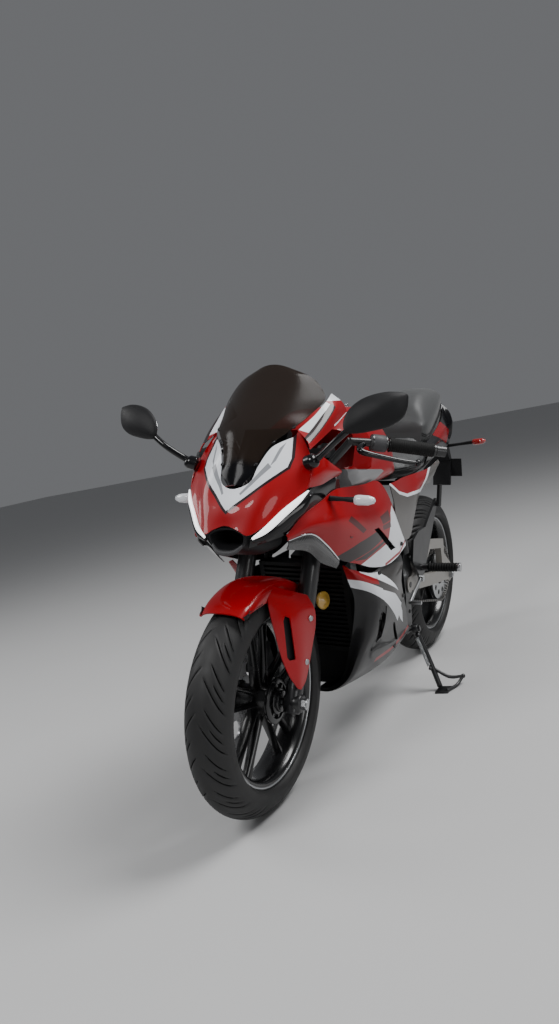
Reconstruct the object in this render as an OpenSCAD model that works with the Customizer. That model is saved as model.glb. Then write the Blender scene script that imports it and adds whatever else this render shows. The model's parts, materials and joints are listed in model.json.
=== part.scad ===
// Full-fairing single-cylinder sport motorcycle, parked on its side stand.
// Bike frame: +X forward, +Y to the rider's left, +Z up, ground at z = 0, x = 0 half-way
// between the axles.  park() leans the whole bike onto its side stand.

/* [Chassis] */
// Distance between the two axles
wheelbase = 1350; // [1120:10:1640]
// Angle of the steering axis from the vertical
rake = 25.5; // [23:0.5:28]
// Distance the front contact patch trails the steering axis
trail = 98; // [85:1:110]
// Lean of the parked bike towards its side stand
lean = 8.5; // [7:0.5:10]
// Distance between the fork legs, centre to centre
fork_gap = 194; // [180:2:234]
// Diameter of the upper fork tubes
fork_tube_d = 50; // [44:1:56]
// Diameter of the chromed lower fork tubes
stanchion_d = 37; // [31:1:41]

/* [Wheels] */
// Outer radius of the front tyre
front_wheel_r = 300; // [285:1:310]
// Outer radius of the rear tyre
rear_wheel_r = 306; // [290:1:320]
// Width of the front tyre
front_tyre_w = 120; // [100:1:130]
// Width of the rear tyre
rear_tyre_w = 150; // [125:1:160]
// Radius of the rim at the tyre bead
bead_r = 216; // [205:1:220]
// Diameter of the front and rear axles
axle_d = 17; // [14:0.5:20]
// Outer radius of the front brake disc
front_disc_r = 146; // [122:1:160]
// Outer radius of the rear brake disc
rear_disc_r = 110; // [95:1:125]
// Outer radius of the rear sprocket
sprocket_r = 104; // [88:1:115]
// Number of twin spokes in each wheel
spoke_pairs = 5; // [4:1:6]

/* [Controls] */
// Diameter of the handlebar tubes
bar_d = 22; // [18:0.5:25]
// Diameter of the rubber grips
grip_d = 33; // [29:1:38]
// Length of a rider footrest
peg_length = 105; // [88:1:125]
// Distance between the outer tips of the two mirrors
mirror_span = 836; // [700:2:1000]

/* [Bodywork] */
// Wall of the moulded panels
panel_wall = 4; // [3:0.5:5]
// Diameter of the main frame tubes
frame_tube_d = 34; // [28:1:38]
// Diameter of the fuel filler cap
cap_d = 92; // [76:1:110]
// Width of the engine block
engine_w = 208; // [174:2:228]

/* [Stand] */
// Diameter of the side-stand leg
stand_leg_d = 18; // [15:1:22]
// Diameter of the side-stand hinge bolt
stand_bolt_d = 10; // [8:0.5:12]

/* [Hidden] */
$fn = 48;

// Clearances
run_gap = 0.05;      // radial gap of a shaft that turns in its bore
seat_gap = 0.3;      // gap between two pieces that rest on each other
joint_gap = 6;       // gap between pieces that move past each other

// Places along the bike: body stations are drawn for this wheelbase and follow the real one
drawn_wheelbase = 1350;
stretch = wheelbase / drawn_wheelbase;
function st(p) = [p[0] * stretch, p[1], p[2]];
function sts(points) = [for (p = points) st(p)];
function outline(points) = [for (p = points) [p[0] * stretch, p[1]]];

front_axle_x = wheelbase / 2;
rear_axle_x = -wheelbase / 2;
front_crown_r = front_tyre_w / 2;
rear_crown_r = rear_tyre_w / 2;
// both tyres touch the floor when the bike leans
crown_lift = (rear_crown_r - front_crown_r) * (1 / cos(lean) - 1);
front_axle_z = front_wheel_r + crown_lift;
rear_axle_z = rear_wheel_r;
floor_lift = rear_crown_r * (1 - cos(lean));
// the parked bike's bounding box is centred on the origin
park_x = 45.5;
park_y = -149.4;

// Steering frame: local z climbs along the steering axis, local x points forward
head_ground_x = front_axle_x + trail;
axle_t = front_axle_z * sin(rake) - trail * cos(rake);
axle_s = front_axle_z * cos(rake) + trail * sin(rake);
leg_y = fork_gap / 2;
stem_d = 30;
head_tube_d = 56;
head_low_s = 838;
head_top_s = 958;
clamp_h = 26;
low_clamp_s = head_low_s - clamp_h - seat_gap;
top_clamp_s = head_top_s + seat_gap;
fork_top_s = top_clamp_s + clamp_h + 12;
tube_low_s = axle_s + 225;
disc_t = 5;

// Swingarm and final drive
pivot = [-195 * stretch, 0, 385];
arm_in_y = rear_crown_r + 27;
arm_wall = 24;
drive_y = rear_crown_r + 8;
drive_t = 7;
drive_x = -95 * stretch;
drive_r = 32;
chain_w = 14;
rear_disc_y = -(rear_crown_r + 9);

// Side stand
stand_pivot = [-200 * stretch, engine_w / 2 + 30, 226];
stand_foot_rel = [50, 100];
stand_axis = [-0.2, 1, 0.24];
foot_t = 8;

// ---------------------------------------------------------------- helpers
function unit(v) = v / norm(v);
function steer_point(t, y, s) =
    [head_ground_x + t * cos(rake) - s * sin(rake), y, t * sin(rake) + s * cos(rake)];

module steer_place() {
    translate([head_ground_x, 0, 0]) rotate([0, -rake, 0]) children();
}

// leans the upright bike onto its stand and centres it on the floor
module park() {
    translate([park_x, park_y, floor_lift]) rotate([-lean, 0, 0]) children();
}

// round bar between two points
module rod(a, b, d) {
    v = b - a;
    translate(a) rotate([0, acos(v[2] / norm(v)), atan2(v[1], v[0])])
        cylinder(h = norm(v), d = d);
}

// bent bar whose straight stretches run a little past each corner, without ball corners
module mitred_bar(points, d) {
    for (i = [0 : len(points) - 2]) {
        along = unit(points[i + 1] - points[i]);
        rod(points[i] - along * (i == 0 ? 0 : d * 0.3),
            points[i + 1] + along * (i == len(points) - 2 ? 0 : d * 0.3), d);
    }
}

// flat plate in the XZ plane between two sideways places
module side_plate(shape, y0, y1) {
    translate([0, max(y0, y1), 0]) rotate([90, 0, 0])
        linear_extrude(abs(y1 - y0)) polygon(shape);
}

module both_sides() {
    children();
    mirror([0, 1, 0]) children();
}

// disc, ring or wheel section turned about the axle direction
module turned(x, z) {
    translate([x, 0, z]) rotate([90, 0, 0]) rotate_extrude($fn = 96) children();
}

// closed solid through equal rings of points, closed by flat ends
module loft(rings) {
    n = len(rings[0]);
    m = len(rings);
    mid = [for (k = [0, 1]) [for (j = [0 : 2]) (rings[k][0][j] + rings[k][floor(n / 2)][j]) / 2]];
    turn = cross(rings[0][1] - rings[0][0], rings[0][2] - rings[0][1]) * (mid[1] - mid[0]);
    idx = function (k, i) k * n + (turn > 0 ? i % n : n - 1 - i % n);
    polyhedron(
        points = [for (ring = rings) each ring],
        faces = concat(
            [for (i = [1 : n - 2]) [idx(0, 0), idx(0, i), idx(0, i + 1)]],
            [for (k = [0 : m - 2], i = [0 : n - 1], half = [0, 1])
                half == 0 ? [idx(k, i), idx(k + 1, i), idx(k + 1, i + 1)]
                          : [idx(k, i), idx(k + 1, i + 1), idx(k, i + 1)]],
            [for (i = [1 : n - 2]) [idx(m - 1, 0), idx(m - 1, i + 1), idx(m - 1, i)]]));
}

// smooth rod, hose or lens strip that follows a list of points; across is a direction that
// is never in line with the route
module tube(points, d, across) {
    last = len(points) - 1;
    loft([for (i = [0 : last])
        let (along = unit(points[min(i + 1, last)] - points[max(i - 1, 0)]),
             a = unit(cross(along, across)), b = cross(along, a))
        [for (turn = [0 : 36 : 324]) points[i] + (a * cos(turn) + b * sin(turn)) * d / 2]]);
}

// panel between an outer and an inner grid of points
module sheet(outer, inner) {
    m = len(outer);
    n = len(outer[0]);
    a = floor((m - 1) / 2);
    b = floor((n - 1) / 2);
    facing = cross(outer[a + 1][b] - outer[a][b], outer[a][b + 1] - outer[a][b])
        * (outer[a][b] - inner[a][b]);
    o = function (k, i) k * n + (facing > 0 ? i : n - 1 - i);
    q = function (k, i) m * n + o(k, i);
    quad = function (p0, p1, p2, p3) [[p0, p1, p2], [p0, p2, p3]];
    polyhedron(
        points = concat([for (row = outer) each row], [for (row = inner) each row]),
        faces = concat(
            [for (k = [0 : m - 2], i = [0 : n - 2])
                each quad(o(k, i), o(k, i + 1), o(k + 1, i + 1), o(k + 1, i))],
            [for (k = [0 : m - 2], i = [0 : n - 2])
                each quad(q(k, i), q(k + 1, i), q(k + 1, i + 1), q(k, i + 1))],
            [for (i = [0 : n - 2]) each quad(o(0, i + 1), o(0, i), q(0, i), q(0, i + 1))],
            [for (i = [0 : n - 2])
                each quad(o(m - 1, i), o(m - 1, i + 1), q(m - 1, i + 1), q(m - 1, i))],
            [for (k = [0 : m - 2]) each quad(o(k, 0), o(k + 1, 0), q(k + 1, 0), q(k, 0))],
            [for (k = [0 : m - 2])
                each quad(o(k + 1, n - 1), o(k, n - 1), q(k, n - 1), q(k + 1, n - 1))]));
}

// grid of points moved one wall towards a line along the bike at height core_z
function inset_rows(rows, core_z, back = 0) =
    [for (row = rows) [for (p = row) p + panel_wall * unit([-back, -p[1], core_z - p[2]])]];

// grid moved straight inwards along the bike's width
function inset_y(rows) = [for (row = rows) [for (p = row) p - [0, sign(p[1]) * panel_wall, 0]]];

// rounded body section: x, low z, shoulder z, top z, half widths low, at the shoulder and top
function body_ring(c) =
    let (x = c[0], zl = c[1], zs = c[2], zt = c[3], wl = c[4], ws = c[5], wt = c[6])
    sts([[x, -wl, zl], [x, -ws, zs], [x, -(ws * 0.82 + wt * 0.18), zs + (zt - zs) * 0.5],
         [x, -wt, zt - (zt - zs) * 0.08], [x, -wt * 0.45, zt], [x, wt * 0.45, zt],
         [x, wt, zt - (zt - zs) * 0.08], [x, ws * 0.82 + wt * 0.18, zs + (zt - zs) * 0.5],
         [x, ws, zs], [x, wl, zl]]);

// ---------------------------------------------------------------- frame and engine
module main_frame() {
    head_low = steer_point(0, 0, head_low_s);
    head_top = steer_point(0, 0, head_top_s);
    spar = [steer_point(-18, 16, head_top_s - 40), [300 * stretch, 100, 752],
            [60 * stretch, 124, 700], [-150 * stretch, 118, 545], [-166 * stretch, 118, 505]];
    cradle = [steer_point(-12, 12, head_low_s + 30), [322 * stretch, 66, 690],
              [60 * stretch, 124, 660]];
    color("#26282b") {
        difference() {
            union() {
                rod(head_low, head_top, head_tube_d);
                both_sides() {
                    mitred_bar(spar, frame_tube_d);
                    mitred_bar(cradle, frame_tube_d - 8);
                    side_plate([[pivot[0] - 32, 345], [pivot[0] + 38, 345],
                                [pivot[0] + 60, 470], [-165 * stretch, 560], [pivot[0] - 34, 430]],
                               engine_w / 2 + seat_gap, engine_w / 2 + 17);
                }
                // side-stand bracket
                side_plate([[pivot[0] - 30, 214], [pivot[0] + 26, 214],
                            [pivot[0] + 26, 350], [pivot[0] - 30, 350]],
                           engine_w / 2 + seat_gap, engine_w / 2 + 12);
                translate([-165 * stretch, -engine_w / 2 - 2, 530]) rotate([-90, 0, 0])
                    cylinder(h = engine_w + 4, d = 26);
                // bolt that the side stand turns on
                rod(stand_pivot - 22 * unit(stand_axis), stand_pivot + 12 * unit(stand_axis),
                    stand_bolt_d);
                rod(stand_pivot + (11 + seat_gap) * unit(stand_axis),
                    stand_pivot + 18 * unit(stand_axis), stand_bolt_d + 10);
                // stay that carries the nose
                rod(steer_point(22, 0, 898), [600 * stretch, 0, 890], 18);
                rod([600 * stretch, -158, 890], [600 * stretch, 158, 890], 14);
            }
            rod(steer_point(0, 0, head_low_s - 5), steer_point(0, 0, head_top_s + 5),
                stem_d + 2 * run_gap);
            translate([pivot[0], -200, pivot[2]]) rotate([-90, 0, 0])
                cylinder(h = 400, d = 20 + 2 * run_gap);
        }
        translate([pivot[0], -engine_w / 2 - 24, pivot[2]]) rotate([-90, 0, 0])
            cylinder(h = engine_w + 48, d = 20);
    }
}

module subframe() {
    rail = [[-172 * stretch, 84, 558], [-236 * stretch, 84, 735],
            [-560 * stretch, 66, 748], [-900 * stretch, 46, 800]];
    color("#26282b") {
        both_sides() mitred_bar(rail, 24);
        for (at = [[-300, 82, 720], [-560, 66, 748], [-880, 46, 797]])
            rod([at[0] * stretch, -at[1], at[2]], [at[0] * stretch, at[1], at[2]], 16);
    }
}

module engine() {
    color("#3a3b3e") {
        difference() {
            translate([-160 * stretch, -engine_w / 2, 262])
                cube([405 * stretch, engine_w, 236]);
            // room beside the frame's lower tubes
            both_sides() rod([-150 * stretch, 118, 545], [-172 * stretch, 118, 460],
                             frame_tube_d + 4);
            // room for the front sprocket and the chain
            translate([-161 * stretch, drive_y - chain_w, pivot[2] - drive_r - 44])
                cube([66 * stretch + drive_r + 24, engine_w, 2 * drive_r + 68]);
        }
        translate([150 * stretch, -78, 470]) rotate([0, 14, 0]) cube([110 * stretch, 156, 150]);
    }
}

module radiator() {
    color("#202225") translate([304 * stretch, 0, 330]) rotate([0, 10, 0]) {
        difference() {
            translate([0, -136, 0]) cube([34, 272, 270]);
            for (k = [0 : 17]) translate([26, -122, 14 + k * 14]) cube([12, 244, 7]);
        }
        for (y = [-118, 118]) translate([12, y, 268]) cylinder(h = 22, d = 16);
    }
}

module swingarm() {
    low = [[pivot[0] - 6, 362], [-430 * stretch, 322], [rear_axle_x - 42, rear_axle_z - 26],
           [rear_axle_x - 42, rear_axle_z + 22], [rear_axle_x + 66, 402], [-600 * stretch, 462],
           [-430 * stretch, 494], [pivot[0] - 6, 412]];
    window = [[-330 * stretch, 388], [-480 * stretch, 358], [rear_axle_x + 96, 366],
              [-566 * stretch, 432], [-430 * stretch, 458]];
    color("#b9bcbf") difference() {
        union() {
            both_sides() {
                difference() {
                    side_plate(low, arm_in_y, arm_in_y + arm_wall);
                    side_plate(window, arm_in_y - 1, arm_in_y + arm_wall + 1);
                }
                translate([pivot[0], arm_in_y + arm_wall, pivot[2]]) rotate([90, 0, 0])
                    cylinder(h = arm_wall, d = 56);
                // shock and brake carriers at the axle
                translate([rear_axle_x, arm_in_y, rear_axle_z]) rotate([-90, 0, 0])
                    cylinder(h = arm_wall, d = 58);
            }
            translate([-338 * stretch, -arm_in_y, 352]) cube([44, 2 * arm_in_y, 42]);
        }
        for (hole = [[rear_axle_x, rear_axle_z], [pivot[0], pivot[2]]])
            translate([hole[0], -200, hole[1]]) rotate([-90, 0, 0])
                cylinder(h = 400, d = (hole[0] == pivot[0] ? 20 : axle_d) + 2 * run_gap);
        // room for the frame's pivot plates
        translate([pivot[0] - 45, -engine_w / 2 - 18, 330])
            cube([100, engine_w + 36, 120]);
    }
}

module rear_shock() {
    low = [-318 * stretch, 0, 398.5];
    top = [-200 * stretch, 0, 592];
    v = top - low;
    color("#8d1218") translate(low) rotate([0, atan2(v[0], v[2]), 0]) {
        cylinder(h = 110, d = 16);
        translate([0, 0, 105]) cylinder(h = norm(v) - 105, d = 40);
        for (k = [0 : 5]) translate([0, 0, 22 + k * 14]) cylinder(h = 7, d = 58);
        translate([0, -20, norm(v)]) rotate([-90, 0, 0]) cylinder(h = 40, d = 44);
    }
}

module exhaust() {
    pipe = [[284 * stretch, -36, 486], [280 * stretch, -36, 330], [268 * stretch, -44, 243],
            [-180 * stretch, -56, 243], [-262 * stretch, -140, 262],
            [-296 * stretch, -196, 290]];
    from = pipe[5];
    to = [-610 * stretch, -206, 366];
    along = unit(to - from);
    color("#2b2c2f") {
        mitred_bar(pipe, 32);
        rod(from - 6 * along, from + 60 * along, 70);
        difference() {
            rod(from + 50 * along, to, 98);
            rod(to - 40 * along, to + 2 * along, 64);
        }
    }
}

module chain() {
    ring = function (grow) [[drive_x, pivot[2], drive_r + grow],
                            [rear_axle_x, rear_axle_z, sprocket_r + grow]];
    color("#8a8c8e") translate([0, drive_y + drive_t / 2 + chain_w / 2, 0])
        rotate([90, 0, 0]) linear_extrude(chain_w) difference() {
            hull() for (c = ring(13)) translate([c[0], c[1]]) circle(r = c[2]);
            hull() for (c = ring(2)) translate([c[0], c[1]]) circle(r = c[2]);
        }
    color("#55575a") translate([drive_x, drive_y + drive_t, pivot[2]]) rotate([90, 0, 0])
        cylinder(h = drive_t, r = drive_r);
}

module rear_axle() {
    end_y = arm_in_y + arm_wall;
    color("#9da0a3") translate([rear_axle_x, 0, rear_axle_z]) rotate([90, 0, 0]) {
        translate([0, 0, -end_y - 16]) cylinder(h = 2 * end_y + 32, d = axle_d);
        for (z = [-end_y - 14, end_y + seat_gap])
            translate([0, 0, z]) cylinder(h = 14 - seat_gap, d = axle_d + 14, $fn = 6);
    }
}

module footrest(side) {
    plate_y = arm_in_y + arm_wall + 8;
    hanger = [[-178, 470], [-196, 540], [-250, 560], [-330, 560], [-470, 640], [-488, 628],
              [-380, 500], [-300, 400], [-255, 396]];
    color("#1f2023") mirror([0, side < 0 ? 1 : 0, 0]) {
        side_plate(outline(hanger), plate_y, plate_y + 9);
        // rider peg
        rod([-268 * stretch, plate_y + 4, 428], [-272 * stretch, plate_y + 22, 428], 22);
        rod([-270 * stretch, plate_y + 16, 430],
            [-276 * stretch, plate_y + 16 + peg_length, 434], 24);
        // pillion peg, folded up
        rod([-462 * stretch, plate_y + 4, 622], [-462 * stretch, plate_y + 24, 622], 20);
        rod([-462 * stretch, plate_y + 20, 612], [-470 * stretch, plate_y + 24, 690], 18);
        // distance pieces to the frame
        rod([-196 * stretch, engine_w / 2 + 17 + seat_gap, 500],
            [-196 * stretch, plate_y + 2, 500], 20);
    }
}

module pedals() {
    plate_y = arm_in_y + arm_wall + 8;
    color("#a9acaf") both_sides() {
        mitred_bar([[-236 * stretch, plate_y + 16, 398], [-150 * stretch, plate_y + 20, 372],
                  [-98 * stretch, plate_y + 22, 352], [-98 * stretch, plate_y + 60, 352]], 12);
        rod([-236 * stretch, plate_y + 9 + seat_gap, 398],
            [-236 * stretch, plate_y + 26, 398], 22);
    }
}

// ---------------------------------------------------------------- tank, seats and tail
//    x,   low z, shoulder z, top z, low w, shoulder w, top w
tank_sections = [
    [-178, 776, 792, 822, 62, 80, 40],
    [-110, 776, 812, 872, 92, 112, 62],
    [ -30, 782, 838, 948, 118, 138, 84],
    [  70, 786, 858, 1002, 136, 158, 104],
    [ 180, 788, 862, 1013, 146, 172, 112],
    [ 300, 792, 856, 980, 150, 180, 108],
    [ 372, 800, 852, 930, 152, 178, 118],
    [ 417, 806, 842, 880, 152, 172, 140]];
rider_seat_sections = [
    [-470, 757, 810, 866, 84, 98, 70],
    [-430, 756, 800, 846, 92, 116, 84],
    [-340, 752, 792, 818, 100, 130, 96],
    [-260, 748, 788, 808, 94, 124, 88],
    [-184, 748, 786, 812, 66, 80, 56]];
pillion_seat_sections = [
    [-868, 808, 978, 1002, 44, 56, 34],
    [-800, 798, 978, 1024, 50, 74, 50],
    [-690, 781, 952, 1030, 60, 98, 62],
    [-590, 766, 912, 1020, 60, 108, 66],
    [-510, 759, 880, 980, 60, 108, 70],
    [-476, 758, 890, 920, 60, 96, 66]];
tail_sections = [
    [-1000, 846, 858, 876, 44, 60, 34],
    [ -950, 826, 868, 930, 58, 80, 36],
    [ -880, 806, 876, 984, 72, 96, 34]];

// top of the tail under the pillion seat and behind it
//    x,  low z, edge z, low w, edge w
tail_sides = [
    [-980, 842, 884, 60, 50], [-880, 800, 950, 82, 62], [-740, 786, 905, 92, 92],
    [-590, 772, 862, 100, 104], [-480, 766, 845, 104, 112]];

module fuel_tank() {
    steer_swing = norm([axle_t, leg_y]) + fork_tube_d / 2 + 14 + joint_gap;
    color("#c4101f") difference() {
        loft([for (c = tank_sections) body_ring(c)]);
        // room for the forks to swing
        rod(steer_point(0, 0, 780), steer_point(0, 0, fork_top_s + 60), 2 * steer_swing);
        // room for the handlebars at full lock
        steer_place() rotate([0, 0, -118]) rotate_extrude(angle = 236) polygon(
            [[steer_swing - 10, head_low_s + 50], [steer_swing + 52, head_low_s + 146],
             [steer_swing + 110, head_low_s + 146], [steer_swing + 110, head_low_s + 290],
             [steer_swing - 10, head_low_s + 290]]);
        // filler neck
        translate([90 * stretch, 0, 950]) cylinder(h = 80, d = cap_d - 20);
    }
}

module fuel_cap() {
    color("#c9ccd0") translate([90 * stretch, 0, 1008.7 + seat_gap]) {
        difference() {
            cylinder(h = 9, d = cap_d);
            translate([0, 0, 7]) cylinder(h = 3, d = cap_d - 26);
        }
        translate([0, 0, 2]) cylinder(h = 6, d = cap_d - 30);
        // hinge knuckle
        rod([cap_d / 2, -12, 4.2], [cap_d / 2, 12, 4.2], 8);
    }
}

module rider_seat() {
    color("#9b9d9f") loft([for (c = rider_seat_sections) body_ring(c)]);
}

module pillion_seat() {
    color("#8f9194") loft([for (c = pillion_seat_sections) body_ring(c)]);
}

module tail_cowl() {
    rows = [for (c = tail_sides)
        sts([[c[0], c[3], c[1]], [c[0], (c[3] + c[4]) / 2 + 10, (c[1] + c[2]) / 2],
             [c[0], c[4], c[2]]])];
    color("#15161a") {
        both_sides() sheet(rows, inset_y(rows));
        difference() {
            loft([for (c = tail_sections) body_ring(c)]);
            loft([for (c = tail_sections)
                body_ring([c[0] + 12, c[1] - 8, c[2] - 6, c[3] - 8, c[4] - 4, c[5] - 6, c[6] - 4])]);
        }
    }
}

module tail_lamp() {
    color("#a30d16") translate([-1000 * stretch - seat_gap - 8, -34, 852]) cube([8, 68, 18]);
}

module side_covers() {
    //  x, top y, top z, low y, low z
    table = [[ 96, 172, 776, 186, 640], [ 20, 168, 774, 184, 590],
             [-60, 158, 772, 178, 584], [-140, 150, 768, 166, 628],
             [-268, 142, 762, 148, 690], [-470, 120, 752, 124, 700],
             [-640, 104, 762, 104, 738]];
    rows = [for (c = table) sts([[c[0], c[1], c[2]],
            [c[0], (c[1] + c[3]) / 2 + 4, (c[2] + c[4]) / 2], [c[0], c[3], c[4]]])];
    peg = [-60 * stretch, frame_tube_d / 2 + 121, 611];
    color("#8f9396") both_sides() {
        sheet(rows, inset_y(rows));
        // peg that plugs onto the frame
        rod(peg, [peg[0], 174, peg[2]], 10);
    }
}

module rear_indicators() {
    color("#b3352a") both_sides() {
        rod([-1012 * stretch, 39 + seat_gap, 776], [-1006 * stretch, 150, 790], 12);
        rod([-1006 * stretch, 146, 790], [-1000 * stretch, 202, 795], 26);
    }
}

module plate_hanger() {
    color("#1b1c1f") {
        side_plate(outline([[-868, 782], [-1020, 792], [-1066, 716], [-1046, 604],
                    [-1034, 604], [-1046, 704], [-990, 762], [-868, 764]]), -38, 38);
        translate([-1052 * stretch, 0, 700]) rotate([0, 6, 0]) translate([-3, -84, -60])
            cube([6, 168, 76]);
    }
}

// ---------------------------------------------------------------- nose, screen and fairings
// inner (glass) edge, crest and outer edge of the nose, from the tip to the wing
nose_rows = [
    [[734, 0, 856], [768, 0, 812], [780, 0, 774]],
    [[716, 40, 870], [754, 48, 818], [782, 34, 764]],
    [[690, 52, 906], [728, 84, 842], [778, 62, 752]],
    [[652, 74, 948], [688, 116, 866], [744, 98, 776]],
    [[604, 110, 968], [648, 144, 890], [700, 140, 818]],
    [[590, 120, 984], [616, 160, 916], [655, 170, 850]]];
cheek_rows = [
    [[622, 158, 914], [640, 170, 880], [660, 168, 848]],
    [[590, 174, 918], [590, 182, 878], [600, 174, 846]],
    [[520, 176, 888], [518, 182, 870], [520, 174, 850]],
    [[470, 174, 868], [470, 178, 862], [470, 174, 856]]];
wing_rows = [
    [[596, 118, 982], [610, 150, 956], [618, 160, 936]],
    [[530, 136, 1014], [548, 164, 990], [556, 172, 962]],
    [[476, 149, 1046], [480, 172, 1020], [500, 174, 980]],
    [[450, 152, 1062], [424, 166, 1032], [412, 168, 1008]]];

//   x edge, half width, edge z, middle x, middle z
screen_table = [
    [724, 18, 862, 728, 866], [706, 42, 888, 716, 892], [684, 50, 914, 702, 920],
    [646, 70, 954, 676, 958], [596, 108, 988, 646, 998], [536, 128, 1018, 606, 1036],
    [480, 138, 1050, 562, 1074], [470, 112, 1090, 524, 1108], [470, 84, 1116, 500, 1130],
    [474, 46, 1136, 480, 1148]];

// upper side fairing: top edge, crease, low edge
upper_rows = [
    [[712, 128, 742], [712, 132, 735], [710, 130, 728]],
    [[655, 152, 784], [652, 170, 755], [646, 162, 734]],
    [[590, 170, 806], [590, 194, 750], [588, 176, 694]],
    [[530, 180, 824], [534, 208, 742], [528, 184, 642]],
    [[450, 186, 820], [450, 217, 722], [440, 199, 610]],
    [[350, 190, 812], [350, 221, 704], [350, 201, 580]],
    [[250, 192, 806], [250, 217, 700], [242, 203, 560]],
    [[160, 192, 744], [152, 208, 664], [146, 203, 562]],
    [[ 80, 197, 618], [ 66, 202, 596], [ 59, 202, 580]]];

// lower fairing: front edge, lip, middle and rear edge, from the top down
lower_rows = [
    [[478, 168, 612], [462, 186, 600], [300, 196, 554], [ 80, 192, 556]],
    [[430, 160, 562], [400, 204, 552], [250, 211, 524], [ 78, 196, 526]],
    [[384, 158, 492], [340, 210, 482], [220, 215, 476], [ 90, 194, 476]],
    [[376, 146, 410], [350, 200, 412], [190, 200, 400], [ 30, 180, 400]],
    [[372, 128, 340], [368, 178, 345], [150, 178, 335], [-40, 162, 335]],
    [[370, 106, 265], [374, 140, 262], [100, 154, 262], [-95, 146, 270]],
    [[364, 66, 222], [364, 78, 214], [100, 118, 206], [-160, 128, 244]],
    [[350, 10, 206], [340, 10, 200], [104, 10, 190], [-150, 10, 206]]];

insert_rows = [
    [[704, 129, 725], [704, 131, 720], [702, 128, 714]],
    [[646, 161, 731], [645, 162, 715], [640, 152, 702]],
    [[588, 175, 692], [586, 176, 678], [584, 165, 664]],
    [[530, 183, 640], [528, 183, 636], [526, 175, 632]]];

module nose_cowl() {
    color("#c4101f") both_sides() for (rows = [nose_rows, cheek_rows, wing_rows])
        let (grid = [for (row = rows) sts(row)]) sheet(grid, inset_rows(grid, 800, 40));
}

module windscreen() {
    rows = [for (c = screen_table) sts([for (u = [-1 : 0.25 : 1])
        [c[3] + (c[0] - c[3]) * u * u, c[1] * u, c[4] + (c[2] - c[4]) * u * u]])];
    color("#4c4540", 0.8) sheet(rows, [for (row = rows) [for (p = row) p - [5, 0, 1]]]);
}

module intake() {
    mouth = [[775, 712, 742, 769, 34, 52, 26], [700, 690, 728, 760, 52, 72, 40],
             [630, 690, 730, 770, 56, 76, 44]];
    color("#141517") difference() {
        loft([for (c = mouth) body_ring(c)]);
        loft([for (c = mouth)
            body_ring([c[0] + 6, c[1] + 10, c[2], c[3] - 10, c[4] - 8, c[5] - 12, c[6] - 8])]);
    }
}

module lamps() {
    strip = [[762, 82, 746], [716, 128, 796], [664, 168, 838]];
    color("#f4f6fa") both_sides() tube(sts(strip), 15, [0, 0, 1]);
}

module instrument() {
    color("#17181b") difference() {
        translate([560 * stretch, 0, 930]) rotate([0, -38, 0]) {
            translate([-12, -64, -34]) cube([24, 128, 92]);
            translate([-4, -52, -110]) cube([8, 16, 80]);
            translate([-4, 36, -110]) cube([8, 16, 80]);
        }
        // seats on the nose stay
        rod([600 * stretch, -158, 890], [600 * stretch, 158, 890], 14 + 2 * seat_gap);
        rod(steer_point(22, 0, 898), [600 * stretch, 0, 890], 18 + 2 * seat_gap);
    }
}

module side_fairing(side) {
    rows = [for (row = upper_rows) sts(row)];
    color("#c4101f") mirror([0, side < 0 ? 1 : 0, 0]) difference() {
        sheet(rows, inset_y(rows));
        // slanted air slot
        translate([276 * stretch, 180, 640]) rotate([0, -28, 0]) cube([150, 60, 16]);
    }
}

module lower_fairing(side) {
    rows = [for (row = lower_rows) sts(row)];
    color("#2a2b2e") mirror([0, side < 0 ? 1 : 0, 0]) sheet(rows, inset_rows(rows, 420));
}

module fairing_inserts() {
    rows = [for (row = insert_rows) sts(row)];
    color("#6d6e70") both_sides() sheet(rows, inset_y(rows));
}

module front_indicators() {
    color("#d8dadc") both_sides() {
        rod(st([562, 183.3, 807]), st([552, 246, 802]), 12);
        rod(st([552, 240, 802]), st([545, 292, 800]), 26);
    }
}

module mirror_piece(side) {
    tip_y = mirror_span / 2;
    inner = [654 * stretch, 268, 982];
    outer = [602 * stretch, tip_y - 12, 1058];
    //  share along the shell, half height, half depth
    table = [[0, 9, 8], [0.12, 24, 18], [0.35, 38, 23], [0.62, 40, 23], [0.86, 27, 16],
             [1, 8, 6]];
    along = unit(outer - inner);
    up = unit(cross(along, [1, 0, 0.1]) * -1);
    deep = cross(along, up);
    rings = [for (c = table) [for (a = [0 : 30 : 330])
        inner + (outer - inner) * c[0] + up * c[1] * sin(a) + deep * c[2] * cos(a)]];
    color("#1a1b1d") mirror([0, side < 0 ? 1 : 0, 0]) {
        loft(rings);
        tube([st([632, 164, 907]), st([638, 194, 922]), st([652, 240, 956]),
              inner + along * 24], 17, [1, 0, 0]);
        tube([st([632, 162, 907]), st([642, 182, 914])], 34, [1, 0, 0]);
    }
}

// ---------------------------------------------------------------- steering
module clamp_plate(s) {
    steer_place() translate([0, 0, s]) linear_extrude(clamp_h) difference() {
        hull() {
            circle(d = 50);
            for (y = [-leg_y, leg_y]) translate([axle_t, y]) circle(d = fork_tube_d + 14);
        }
        for (y = [-leg_y, leg_y])
            translate([axle_t, y]) circle(d = fork_tube_d + 2 * run_gap);
    }
}

module triple_clamps() {
    color("#232427") {
        clamp_plate(low_clamp_s);
        clamp_plate(top_clamp_s);
        steer_place() {
            translate([0, 0, low_clamp_s + clamp_h / 2])
                cylinder(h = top_clamp_s - low_clamp_s, d = stem_d);
            translate([0, 0, top_clamp_s + clamp_h / 2])
                cylinder(h = clamp_h / 2 + 10, d = 34);
        }
    }
}

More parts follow.
